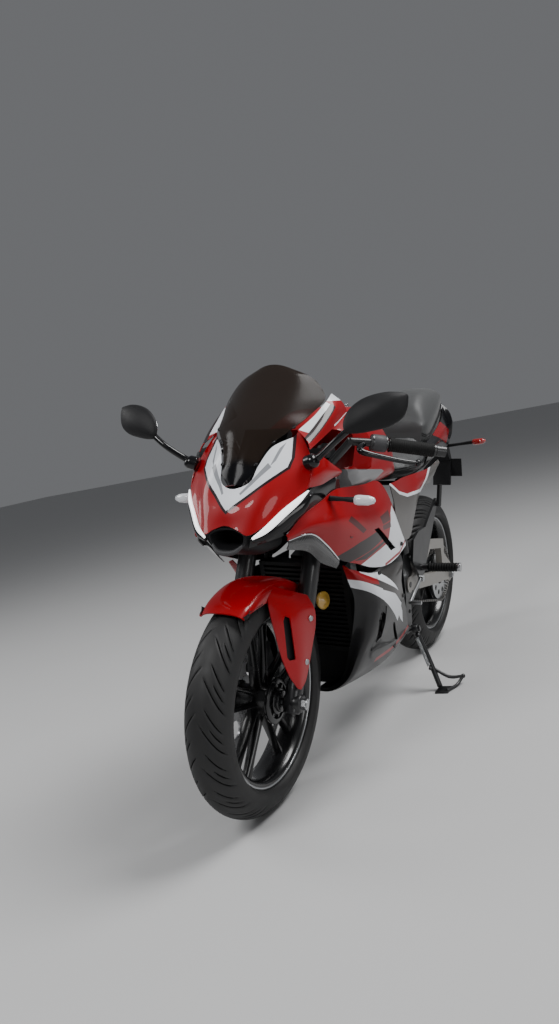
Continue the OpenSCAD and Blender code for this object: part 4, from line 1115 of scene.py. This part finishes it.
class BIKE_OT_nose(bpy.types.Operator):
    """Builds the nose, its wings and cheeks, the intake and the lamps"""
    bl_idname = "bike.nose"
    bl_label = "Nose"

    def execute(self, context):
        panel("nose_shell", across_bike(NOSE), "nose_red", "nose_cowl",
              8, 6, pair=False)
        panel("nose_cheeks", CHEEK, "red_paint", ())
        panel("nose_wings", WING, "wing_red", ())
        mouth = [(712, 742, 769, 34, 52, 26), (690, 728, 760, 52, 72, 40),
                 (690, 730, 770, 56, 76, 44)]

        def ring(x, low, shoulder, top, wl, ws, wt, less=0.0):
            return body_ring(x, low + less, shoulder, top - less, wl - less * 0.8,
                             ws - less * 1.2, wt - less * 0.8)
        rings = [ring(630, *mouth[2]), ring(700, *mouth[1]), ring(768, *mouth[0]),
                 ring(777, *mouth[0], less=2), ring(776, *mouth[0], less=5),
                 ring(765, *mouth[0], less=9), ring(705, *mouth[0], less=12)]
        bm = grid_of([flow(r, 3, closed=True) for r in rings], closed=True)
        piece("intake_mouth", bm, "black_plastic", "chassis", "intake",
              edge=0.0005)
        lip = tube([(772, -44, 728), (783, -24, 712), (786, 0, 708), (783, 24, 712),
                    (772, 44, 728)], [3, 6, 7, 6, 3], 12, 8)
        piece("intake_lip", lip, "grey_plastic", "chassis")
        strip = mirrored(self.strip([(770, 66, 742), (752, 96, 762), (716, 130, 798),
                                     (688, 154, 822), (662, 170, 842)],
                                    (3, 8, 9, 7, 2), (2.5, 5, 5, 5, 2)))
        piece("lamp_strips", strip, "lamp_white", "chassis", "lamps")
        back = mirrored(self.strip([(768, 64, 735), (746, 100, 752), (708, 134, 784),
                                    (680, 158, 806), (655, 174, 830)],
                                   (4, 13, 16, 14, 4), (3, 5, 6, 6, 3)))
        piece("lamp_frames", back, "black_gloss", "chassis")
        band = [[(768, 60, 738), (766, 56, 728), (762, 50, 716)],
                [(744, 100, 758), (742, 98, 744), (732, 88, 728)],
                [(704, 138, 798), (704, 136, 770), (704, 126, 744)],
                [(660, 166, 838), (656, 164, 812), (652, 152, 784)],
                [(600, 173, 850), (594, 175, 832), (588, 169, 806)],
                [(510, 174, 862), (514, 179, 846), (520, 178, 824)]]
        panel("nose_side_bands", band, "black_gloss", (), 4, 6)
        return {"FINISHED"}

    def strip(self, route, tall, deep):
        """A flattened bar that follows the nose: half heights and half depths per point."""
        fine = flow(route, 6)
        size = flow([(t, d, 0) for t, d in zip(tall, deep)], 6)
        rows = []
        for i, here in enumerate(fine):
            ahead = (fine[min(i + 1, len(fine) - 1)] - fine[max(i - 1, 0)]).normalized()
            out = Vector((0.75, 0.6, 0.1))
            out = (out - ahead * out.dot(ahead)).normalized()
            up = ahead.cross(out).normalized()
            rows.append([here + up * size[i].x * math.sin(a) + out * size[i].y * math.cos(a)
                         for a in (2 * math.pi * k / 16 for k in range(16))])
        return grid_of(rows, closed=True)


class BIKE_OT_screen(bpy.types.Operator):
    """Builds the smoked windscreen"""
    bl_idname = "bike.screen"
    bl_label = "Windscreen"

    def execute(self, context):
        rows = [[(mx + (ex - mx) * u * u, w * u, mz + (ez - mz) * u * u)
                 for u in (k / 8 for k in range(-8, 9))] for ex, w, ez, mx, mz in SCREEN]
        bm = grid_of(surface(rows, 1, 6))
        face_out(bm)
        piece("smoked_screen", bm, "screen_smoke", "chassis", "windscreen",
              wall=0.003, edge=0.0008)
        bolts = bmesh.new()
        for side in (-1, 1):
            for x, y, z in ((690, 47, 909), (640, 74, 957), (592, 108, 989)):
                join(bolts, bolt((x + 3, side * y, z + 2), (0.72, side * 0.25, 0.65), 5, 4))
        piece("screen_bolts", bolts, "black_gloss", "chassis")
        return {"FINISHED"}


class BIKE_OT_fairings(bpy.types.Operator):
    """Builds the side and lower fairings with their slots, vents and inserts"""
    bl_idname = "bike.fairings"
    bl_label = "Fairings"

    def execute(self, context):
        slot = [(368, 690), (334, 689), (160, 594), (204, 594)]
        panel("side_fairings", UPPER, "side_red",
              ("side_fairing_left", "side_fairing_right"), 8, 5,
              windows=(slot,))
        vents = ([(306, 462), (326, 422), (304, 345), (262, 350), (268, 401), (280, 450)],
                 [(168, 368), (132, 354), (40, 268), (84, 284)])
        panel("lower_fairings", LOWER, "lower_dark",
              ("lower_fairing_left", "lower_fairing_right"), 6, 5,
              windows=vents)
        backing = bmesh.new()
        for side in (-1, 1):
            join(backing, block((196, 3, 120), (268, side * 190, 650),
                                Matrix.Rotation(math.radians(-24), 4, "Y")))
            join(backing, block((70, 3, 150), (292, side * 178, 402)))
            join(backing, block((160, 3, 60), (104, side * 152, 318),
                                Matrix.Rotation(math.radians(-38), 4, "Y")))
        piece("vent_backings", backing, "black_plastic", "chassis")
        panel("fairing_insert_lenses", INSERT, "insert_smoke", "fairing_inserts",
              6, 6, wall=0.004)
        trim = mirrored(tube([(706, 130, 727), (648, 162.5, 733), (590, 176.5, 694),
                              (532, 184, 642)], [1.5, 2.4, 2.4, 1.5], 10, 8))
        piece("insert_trims", trim, "chrome", "chassis")
        guard = grid_of(surface([[(308 - 0.1 * abs(w), w * k / 4, z) for k in range(-4, 5)]
                                 for z, w in ((208, 30), (222, 62), (262, 98), (330, 124))],
                                2, 4))
        piece("belly_guard", guard, "black_plastic", "chassis",
              wall=0.003)
        airbox = block((250, 130, 160), (-20, 0, 560), bevel=14)
        piece("airbox", airbox, "black_plastic", "chassis")
        slats = bmesh.new()
        for k in range(5):
            z = 452 - 22 * k
            join(slats, mirrored(tube([(262 + 6 * (k > 2), 192 - 3 * k, z - 10),
                                       (318 - 2 * k, 194 - 4 * k, z + 4)], 2.6, 8, 3)))
        piece("vent_slats", slats, "black_plastic", "chassis")
        bolts = bmesh.new()
        for x, y, z in ((500, 205, 700), (112, 205, 596), (60, 186, 420), (-70, 161, 330),
                        (330, 213, 560)):
            join(bolts, mirrored(bolt((x, y + 2, z), (0.1, 1, 0), 7, 4)))
        piece("fairing_bolts", bolts, "black_gloss", "chassis")
        return {"FINISHED"}


class BIKE_OT_tank(bpy.types.Operator):
    """Builds the fuel tank, its side inserts and the hinged filler cap"""
    bl_idname = "bike.tank"
    bl_label = "Tank"

    def execute(self, context):
        bm = hull(TANK, 5, 6)
        tank = piece("tank_shell", bm, "tank_red", "chassis", "fuel_tank")
        # how far the fork tubes reach round the steering axis, with room and a joint's gap
        swing = math.hypot(AXLE_AHEAD, LEG_SIDE) + FORK_TUBE_R + SWING_ROOM + JOINT_GAP
        carve(tank, bar(steer_point(0, 0, 780), steer_point(0, 0, 1060), swing, sides=96,
                        chamfer=0))
        recess = [(swing - 10, 888), (swing + 52, 984), (swing + 110, 984),
                  (swing + 110, 1128), (swing - 10, 1128)]
        turns = [math.radians(degrees) for degrees in range(-118, 119, 4)]
        carve(tank, grid_of([[steer_point(far * math.cos(a), far * math.sin(a), up)
                              for far, up in recess] for a in turns], closed=True))
        carve(tank, bar((90, 0, 985), (90, 0, 1040), 45, sides=64, chamfer=0))
        rim = tank.modifiers.new("edge", "BEVEL")
        rim.width, rim.segments, rim.limit_method = 0.002, 2, "ANGLE"
        rim.angle_limit = math.radians(50)
        base = turned_bar([(0, 0.05), (0, 44), (3, 44.5), (5, 43), (5, 36), (2, 35), (2, 0.05)],
                          (90, 0, 1004), (0, 0, 1), 64)
        piece("filler_ring", base, "black_gloss", "chassis")
        lid = turned_bar([(0, 0.05), (0, 43), (2, 45.5), (6, 46), (9, 43.5), (9, 34),
                          (7.4, 33), (7.4, 26), (8.6, 25), (8.6, 0.05)],
                         (90, 0, 1009), (0, 0, 1), 72)
        for k in range(7):
            a = 2 * math.pi * k / 7
            join(lid, bolt((90 + 39 * math.cos(a), 39 * math.sin(a), 1018), (0, 0, 1), 3.6, 3))
        join(lid, block((34, 12, 3), (90, 0, 1018.5)))
        join(lid, bar((136, -12, 1013.2), (136, 12, 1013.2), 4))
        piece("filler_cap", lid, "chrome", "fuel_cap", "fuel_cap", edge=0.0006)
        return {"FINISHED"}


class BIKE_OT_seats(bpy.types.Operator):
    """Builds the two seats, swells their padding and adds seams and edges"""
    bl_idname = "bike.seats"
    bl_label = "Seats"

    def execute(self, context):
        for name, node, sections, fill in (("rider_seat_pad", "rider_seat", RIDER_SEAT, 0.85),
                                           ("pillion_seat_pad", "pillion_seat", PILLION_SEAT,
                                            0.85)):
            bm = hull(sections, 3, 4)
            pad = piece(name, bm, "seat_vinyl", "chassis", node)
            self.swell(pad, sections)
            seams = bmesh.new()
            join(seams, self.seam(sections, 0.5, 2), self.seam(sections, 0.0, 1.2))
            piece(name + "_seams", seams, "black_plastic", "chassis")
        return {"FINISHED"}

    def seam(self, sections, drop, lift):
        """A piped seam round both sides of a seat, near its shoulder."""
        half = []
        for x, low, shoulder, top, wl, ws, wt in sections:
            z = shoulder + (shoulder - low) * -0.1 - drop * 14
            half.append((x, ws + lift, z))
        return mirrored(tube(half, 1.8, 8, 6))

    def swell(self, pad, sections):
        """Blows the padding up a little, with the points' travel capped."""
        remesh = pad.modifiers.new("remesh", "REMESH")
        remesh.mode, remesh.voxel_size = "VOXEL", 0.006
        settle(pad)
        for polygon in pad.data.polygons:
            polygon.use_smooth = True
        rest = [v.co.copy() for v in pad.data.vertices]
        held = pad.vertex_groups.new(name="held")
        for vertex in pad.data.vertices:
            upright = UPRIGHT_TO_ROW.inverted() @ (vertex.co - PARK) * 1000
            section = min(sections, key=lambda s: abs(s[0] - upright.x))
            if upright.z < section[2] - 8:
                held.add([vertex.index], 1.0, "REPLACE")
        cloth = pad.modifiers.new("cloth", "CLOTH")
        cloth.settings.use_pressure = True
        cloth.settings.uniform_pressure_force = 4
        cloth.settings.vertex_group_mass = "held"
        cloth.settings.effector_weights.gravity = 0
        scene = bpy.context.scene
        for frame_number in range(1, 21):
            scene.frame_set(frame_number)
        graph = bpy.context.evaluated_depsgraph_get()
        mesh = bpy.data.meshes.new_from_object(pad.evaluated_get(graph))
        cap = sizes().seat_rise
        for vertex, start in zip(mesh.vertices, rest):
            move = vertex.co - start
            if move.length > cap:
                vertex.co = start + move * (cap / move.length)
        pad.modifiers.clear()
        old = pad.data
        pad.data = mesh
        bpy.data.meshes.remove(old)
        pad.vertex_groups.clear()
        scene.frame_set(1)
        finer = pad.modifiers.new("round", "SUBSURF")
        finer.levels = finer.render_levels = 1


class BIKE_OT_rear_bodywork(bpy.types.Operator):
    """Builds the side covers, the tail, its lamp and the indicators"""
    bl_idname = "bike.rear_bodywork"
    bl_label = "Rear bodywork"

    def execute(self, context):
        rows = [[(x, ty, tz), (x, (ty + ly) / 2 + 6, (tz + lz) / 2), (x, ly, lz)]
                for x, ty, tz, ly, lz in COVER]
        panel("silver_covers", rows, "cover_silver", "side_covers", 6, 6)
        tail = [[(x, wl, lz), (x, (wl + we) / 2 + 10, (lz + ez) / 2), (x, we, ez)]
                for x, lz, ez, wl, we in TAIL_SIDE]
        panel("tail_sides", tail, "tail_black", "tail_cowl", 6, 6)
        bm = hull(TAIL, 4, 5)
        piece("tail_end", bm, "tail_black", "chassis")
        lens = block((9, 70, 18), (-1004, 0, 861), bevel=3)
        piece("tail_lens", lens, "lens_red", "chassis", "tail_lamp", edge=0.0008)
        stem = mirrored(tube([(-1012, 39, 776), (-1010, 90, 782), (-1006, 150, 790)],
                             [7, 6, 8], 12, 5))
        piece("rear_indicator_stems", stem, "black_plastic", "chassis")
        bulb = mirrored(turned_bar([(-4, 4), (0, 11), (8, 13), (40, 12), (52, 7), (55, 2)],
                                   (-1006, 148, 790), (0.1, 1, 0.09), 32))
        piece("rear_indicator_lenses", bulb, "lens_red", "chassis", "rear_indicators")
        return {"FINISHED"}


class BIKE_OT_mirrors(bpy.types.Operator):
    """Builds the mirrors on their stems, and the front indicators"""
    bl_idname = "bike.mirrors"
    bl_label = "Mirrors"

    def execute(self, context):
        inner, outer = Vector((654, 268, 982)), Vector((602, 406, 1058))
        table = [(0, 8, 8, 6), (0.05, 22, 13, 11), (0.18, 38, 24, 18), (0.38, 45, 36, 24),
                 (0.58, 41, 45, 25), (0.78, 29, 43, 20), (0.91, 15, 28, 12), (1.0, 3, 6, 3)]
        along = (outer - inner).normalized()
        up = -along.cross(Vector((1, 0, 0.1))).normalized()
        up = up if up.z > 0 else -up
        deep = along.cross(up)
        sign = 1 if deep.x > 0 else -1
        rings = []
        for share, above, below, thick in table:
            ring = []
            for k in range(24):
                a = 2 * math.pi * k / 24
                depth = thick * math.cos(a) * (1.0 if math.cos(a) * sign > 0 else 0.35)
                tall = (above if math.sin(a) > 0 else below) * math.sin(a)
                crease = 0.86 + 0.14 * abs(math.cos(a)) ** 6
                ring.append(inner + (outer - inner) * share + up * tall
                            + deep * depth * crease)
            rings.append(ring)
        shell = grid_of(surface(rings, 1, 5, closed=False), closed=True)
        piece("mirror_shells", mirrored(shell), "black_plastic", "chassis",
              ("mirror_left", "mirror_right"))
        glass = []
        for share, above, below, thick in table[1:-1]:
            middle = inner + (outer - inner) * share - deep * sign * (thick * 0.35 + 0.6)
            glass.append([middle + up * (above if k > 0 else below) * 0.84 * k / 5
                          for k in range(-5, 6)])
        bm = grid_of(surface(glass, 1, 5))
        piece("mirror_glasses", mirrored(bm), "chrome", "chassis",
              wall=0.0008)
        stem = tube([(632, 164, 907), (638, 194, 922), (652, 240, 956),
                     inner + along * 20], [12, 8.5, 8, 8], 16, 8)
        join(stem, tube([(634, 160, 906), (640, 178, 912), (642, 186, 916)], [19, 18, 11],
                        20, 6))
        piece("mirror_stems", mirrored(stem), "black_gloss", "chassis")
        stalk = tube([(566, 180, 808), (558, 214, 805), (552, 246, 802)], [7, 5.5, 8], 14, 6)
        piece("front_indicator_stems", mirrored(stalk), "black_plastic", "chassis")
        bulb = turned_bar([(-2, 6), (2, 12), (10, 13.5), (36, 12.5), (50, 8), (54, 2)],
                          (552, 242, 802), (-0.12, 1, -0.04), 32)
        piece("front_indicator_lenses", mirrored(bulb), "lens_clear", "chassis",
              "front_indicators")
        return {"FINISHED"}


class BIKE_OT_mudguard(bpy.types.Operator):
    """Builds the front mudguard with its long side fins"""
    bl_idname = "bike.mudguard"
    bl_label = "Front mudguard"

    def execute(self, context):
        side = [(256, -66), (280, -67), (296, -66), (307, -58), (313, -38), (315, -14)]
        section = side + [(r, -y) for r, y in reversed(side)]
        rows = []
        for degrees in range(60, 142, 3):
            share = (degrees - 60) / 81
            trim = 46 * (1 - min(1, share / 0.42)) + 36 * max(0, (share - 0.72) / 0.28) ** 2
            a = math.radians(degrees)
            rows.append([(FRONT_HUB[0] + max(far, 256 + trim) * math.cos(a),
                          y * (1 - 0.12 * (1 - min(1, share / 0.12)) ** 2),
                          FRONT_HUB[2] + max(far, 256 + trim) * math.sin(a))
                         for far, y in section])
        bm = grid_of(surface(rows, 4, 2))
        self.outward(bm)
        t, s = AXLE_AHEAD, AXLE_UP
        # how far up the leg, then how far ahead and aside: front edge, middle and rear edge
        fin = [(34, (36, 124), (31, 126), (26, 128)), (58, (66, 113), (40, 126), (8, 129)),
               (100, (96, 98), (50, 124), (0, 129)), (150, (122, 86), (62, 120), (-5, 129)),
               (200, (146, 74), (78, 113), (-8, 129)), (240, (158, 67), (90, 101), (8, 128)),
               (272, (138, 60), (88, 84), (31, 112))]
        grid = [[steer_point(t + ahead, aside, s + up) for ahead, aside in row]
                for up, *row in fin]
        sheet = grid_of(surface(grid, 8, 6))
        face_out(sheet)
        window = [steer_point(t + ahead, 0, s + up)[::2]
                  for ahead, up in ((62, 104), (76, 98), (84, 104), (112, 190), (110, 204),
                                    (96, 200))]
        cut_hole(sheet, window)
        join(bm, mirrored(sheet))
        piece("front_fender", bm, ("red_paint", "black_plastic"), "steering",
              "front_mudguard", wall=0.0035, edge=0.001)
        back = [[steer_point(t + ahead, aside - 7, s + up) for ahead, aside in row]
                for up, *row in ((86, (84, 104), (44, 124)), (150, (114, 90), (56, 121)),
                                 (218, (142, 76), (76, 112)))]
        pocket = grid_of(surface(back, 2, 3))
        face_out(pocket)
        piece("fender_slots", mirrored(pocket), "black_plastic", "steering",
              wall=0.002)
        bolts = bmesh.new()
        for ahead, aside, up in ((16, 129, 104), (20, 126, 214)):
            at = steer_point(t + ahead, aside, s + up)
            join(bolts, mirrored(bolt(at, (0.15, 1, 0), 8, 5)))
        piece("fender_bolts", bolts, "alloy_silver", "steering")
        return {"FINISHED"}

    def outward(self, bm):
        """Turns the arch's faces away from the axle."""
        bm.normal_update()
        hub = place(FRONT_HUB)
        if sum((f.calc_center_median() - hub).dot(f.normal) for f in bm.faces) < 0:
            bmesh.ops.reverse_faces(bm, faces=bm.faces)


class BIKE_OT_controls(bpy.types.Operator):
    """Builds the grips, switches, levers, hose, stand spring and other small parts"""
    bl_idname = "bike.controls"
    bl_label = "Controls"

    def execute(self, context):
        elbow, tip = Vector((366, 236, 925)), Vector((262, 378, 889))
        out = (tip - elbow).normalized()
        profile = [(34, 12), (36, 20), (39, 20), (40, 18)]
        far = 42
        while far < 156:
            profile += [(far, 17.6), (far + 1, 18.4), (far + 4, 18.4), (far + 5, 17.6)]
            far += 6
        profile += [(159, 19), (161, 12)]
        grip = mirrored(turned_bar(profile, elbow, out, 28))
        piece("grips", grip, "grip_rubber", "steering")
        switch = mirrored(turned_bar([(-16, 12), (-14, 20), (-8, 23), (22, 23), (28, 19),
                                      (29, 12)], elbow, out, 24))
        piece("switch_housings", switch, "grey_plastic", "steering")
        button = bmesh.new()
        join(button, bar(elbow + out * 8 + Vector((-14, -6, 12)),
                         elbow + out * 8 + Vector((-20, -8, 18)), 5))
        piece("starter_button", button, "lens_red", "steering")
        lever = tube([(394, 210, 924), (424, 212, 918), (436, 222, 910), (428, 242, 902),
                      (404, 272, 890), (374, 312, 876), (350, 344, 868)],
                     [8, 9, 8.5, 7.5, 7, 6.5, 6], 14, 6)
        ball = bmesh.new()
        bmesh.ops.create_uvsphere(ball, u_segments=24, v_segments=16, radius=0.0095)
        bmesh.ops.translate(ball, verts=ball.verts, vec=place((350, 344, 868)))
        join(lever, ball)
        piece("hand_levers", mirrored(lever), "black_gloss", "steering", "levers")
        t, s = AXLE_AHEAD, AXLE_UP
        hose = tube([steer_point(t - 84, -78, s + 162), steer_point(t - 60, -84, 560),
                     steer_point(t - 46, -110, 650), steer_point(t - 20, -134, 700),
                     steer_point(t + 10, -134, 745), steer_point(t + 40, -120, 800),
                     steer_point(t + 52, -100, 900), steer_point(t + 60, -160, 985)],
                    3.6, 12, 10)
        piece("front_brake_hose", hose, "black_plastic", "steering", "brake_hose")
        caps = bmesh.new()
        join(caps, turned_bar([(-46, 6), (-2, 6), (0, 18), (2, 25), (9, 26), (12, 22),
                               (12, 12), (16, 10), (16, 0.05)], (398, 64, 490),
                              (0.3, 1, 0.1), 32))
        piece("gold_cap", caps, "gold_cap", "chassis")
        self.stand()
        peg = [(0, 8), (1, 13)]
        for k in range(11):
            peg += [(4 + 9 * k, 13), (5 + 9 * k, 15.5), (10 + 9 * k, 15.5), (11 + 9 * k, 13)]
        peg += [(105, 13), (106, 8)]
        pegs = mirrored(turned_bar(peg, (-270, 166, 430), (-6, 105, 4), 28))
        piece("peg_rubbers", pegs, "grip_rubber", "chassis")
        tips = mirrored(bar((-275.6, 268, 434), (-276.4, 280, 434.4), 15))
        piece("peg_tips", tips, "alloy_silver", "chassis")
        return {"FINISHED"}

    def stand(self):
        """The side stand: leg, open foot, lug and spring."""
        pivot = Vector((-200, 134, 226))
        floor = 234 * math.tan(LEAN) - 75 * (1 - math.cos(LEAN)) / math.cos(LEAN)
        foot = Vector((-150, 234, floor))
        hinge = Vector((-0.2, 1, 0.24)).normalized()
        bm = turned_bar([(-9, 5.2), (-9, 16), (-7, 17), (9, 17), (11, 16), (11, 5.2)], pivot,
                        hinge, 40)
        join(bm, tube([pivot + Vector((5, 9, -15)), pivot.lerp(foot, 0.5) + Vector((3, 6, 0)),
                       foot + Vector((-4, -4, 12))], [10, 9, 9], 16, 8))
        tilt = Matrix.Rotation(LEAN, 4, "X")
        join(bm, block((58, 46, 8), foot + Vector((2, 10, 4)), tilt, 2))
        join(bm, tube([foot + Vector((20, 26, 10)), foot + Vector((-30, 46, 14)),
                       foot + Vector((-62, 58, 34))], [6, 5.5, 5], 12, 6))
        join(bm, tube([pivot.lerp(foot, 0.62) + Vector((0, 2, 0)),
                       foot + Vector((-22, 22, 44)), foot + Vector((-62, 58, 36))],
                      [5, 6, 4.5], 12, 6))
        for at, size in ((foot + Vector((-64, 59, 35)), 8),
                         (pivot.lerp(foot, 0.62) + Vector((22, 4, 2)), 6)):
            ball = bmesh.new()
            bmesh.ops.create_uvsphere(ball, u_segments=20, v_segments=12, radius=size / 1000)
            bmesh.ops.translate(ball, verts=ball.verts, vec=place(at))
            join(bm, ball)
        join(bm, tube([pivot.lerp(foot, 0.6), pivot.lerp(foot, 0.62) + Vector((22, 4, 2))],
                      5, 10, 3))
        piece("stand_leg", bm, "frame_black", "side_stand", "side_stand")
        start = pivot + Vector((24, 14, -22))
        end = pivot.lerp(foot, 0.6) + Vector((24, 2, 8))
        axis = end - start
        across = axis.orthogonal().normalized() * 5
        other = axis.normalized().cross(across)
        coil = [start + axis * (k / 160) + across * math.cos(k * 0.9) + other * math.sin(k * 0.9)
                for k in range(161)]
        piece("stand_spring", tube(coil, 1.4, 6, 2), "alloy_silver", "side_stand")


class BIKE_OT_kept_parts(bpy.types.Operator):
    """Gives the parts whose shape stays their finishes"""
    bl_idname = "bike.kept_parts"
    bl_label = "Kept parts"

    KEPT = {
        "main_frame": "frame_black", "subframe": "frame_black", "engine": "engine_grey",
        "radiator": "radiator_black", "swingarm": "swingarm_silver",
        "rear_shock": "spring_red", "exhaust": "exhaust_black", "rear_axle": "alloy_silver",
        "footrest_left": "frame_black", "footrest_right": "frame_black",
        "pedals": "alloy_silver", "instrument": "black_plastic",
        "plate_hanger": "black_plastic", "triple_clamps": "frame_black",
        "front_axle": "alloy_silver", "brake_caliper": "exhaust_black",
        "handlebar_left": "frame_black", "handlebar_right": "frame_black",
        "front_disc": "disc_steel", "rear_disc": "disc_steel", "sprocket": "alloy_silver"}

    def execute(self, context):
        for node, finish in self.KEPT.items():
            for holder in frame["nodes"][node].material_slots:
                holder.material = FINISHES[finish].material
        return {"FINISHED"}


class BIKE_OT_stage(bpy.types.Operator):
    """Sets the floor, the soft lights and the camera"""
    bl_idname = "bike.stage"
    bl_label = "Stage"

    def execute(self, context):
        floor = bmesh.new()
        bmesh.ops.create_grid(floor, x_segments=1, y_segments=1, size=30)
        mesh = bpy.data.meshes.new("floor")
        floor.to_mesh(mesh)
        floor.free()
        ground = bpy.data.objects.new("floor", mesh)
        bpy.context.collection.objects.link(ground)
        finish = Finish("floor_pale", (0.50, 0.50, 0.50), 0.75)
        finish.vary_roughness(0.62, 0.78, finish.noise(3, 3))
        mesh.materials.append(finish.material)
        world = bpy.data.worlds.new("studio")
        world.use_nodes = True
        world.node_tree.nodes["Background"].inputs[0].default_value = (0.42, 0.43, 0.45, 1)
        world.node_tree.nodes["Background"].inputs[1].default_value = 0.36
        bpy.context.scene.world = world
        middle = Vector((0, 0, 0.55))
        for name, at, size, power in (("key", (-0.9, 2.4, 4.4), 2.6, 250),
                                      ("front", (3.6, -0.6, 3.6), 1.6, 95),
                                      ("fill", (1.0, -3.8, 3.0), 2.2, 60),
                                      ("low", (2.6, 3.8, 1.4), 1.6, 26)):
            light = bpy.data.lights.new(name, "AREA")
            light.shape, light.size, light.energy = "DISK", size, power
            lamp = bpy.data.objects.new(name, light)
            lamp.location = at
            lamp.rotation_euler = (middle - Vector(at)).to_track_quat("-Z", "Y").to_euler()
            bpy.context.collection.objects.link(lamp)
        yaw, pitch, roll = map(math.radians, (-151.45, -5.42, -11.3))
        ahead = Vector((math.cos(pitch) * math.cos(yaw), math.cos(pitch) * math.sin(yaw),
                        math.sin(pitch)))
        right = ahead.cross(Vector((0, 0, 1))).normalized()
        up = right.cross(ahead)
        right, up = (right * math.cos(roll) + up * math.sin(roll),
                     up * math.cos(roll) - right * math.sin(roll))
        data = bpy.data.cameras.new("camera")
        data.lens, data.sensor_width = 29.25, 36
        camera = bpy.data.objects.new("camera", data)
        camera.matrix_world = (Matrix.Translation((2.4955, 1.0266, 0.9608))
                               @ Matrix((right, up, -ahead)).transposed().to_4x4())
        bpy.context.collection.objects.link(camera)
        bpy.context.scene.camera = camera
        return {"FINISHED"}


class BIKE_PT_panel(bpy.types.Panel):
    """Sizes and colours of the motorcycle, and a button for each group of pieces"""
    bl_idname = "BIKE_PT_panel"
    bl_label = "Motorcycle"
    bl_space_type = "VIEW_3D"
    bl_region_type = "UI"
    bl_category = "Motorcycle"

    def draw(self, context):
        for group in (context.scene.bike_sizes, context.scene.bike_colours):
            for key in group.bl_rna.properties.keys():
                if key not in ("rna_type", "name"):
                    self.layout.prop(group, key)
        for operator in OPERATORS:
            self.layout.operator(operator.bl_idname)


OPERATORS = (BIKE_OT_tyres, BIKE_OT_rims, BIKE_OT_chain, BIKE_OT_forks, BIKE_OT_nose,
             BIKE_OT_screen, BIKE_OT_fairings, BIKE_OT_tank, BIKE_OT_seats,
             BIKE_OT_rear_bodywork, BIKE_OT_mirrors, BIKE_OT_mudguard, BIKE_OT_controls,
             BIKE_OT_kept_parts, BIKE_OT_stage)
CLASSES = (BikeSizes, BikeColours) + OPERATORS + (BIKE_PT_panel,)


def register():
    for item in CLASSES:
        bpy.utils.register_class(item)
    bpy.types.Scene.bike_sizes = bpy.props.PointerProperty(type=BikeSizes)
    bpy.types.Scene.bike_colours = bpy.props.PointerProperty(type=BikeColours)


def unregister():
    del bpy.types.Scene.bike_sizes
    del bpy.types.Scene.bike_colours
    for item in reversed(CLASSES):
        bpy.utils.unregister_class(item)


def main():
    register()
    make_finishes()
    for operator in OPERATORS:
        group, name = operator.bl_idname.split(".")
        getattr(getattr(bpy.ops, group), name)()


if __name__ == "__main__":
    main()
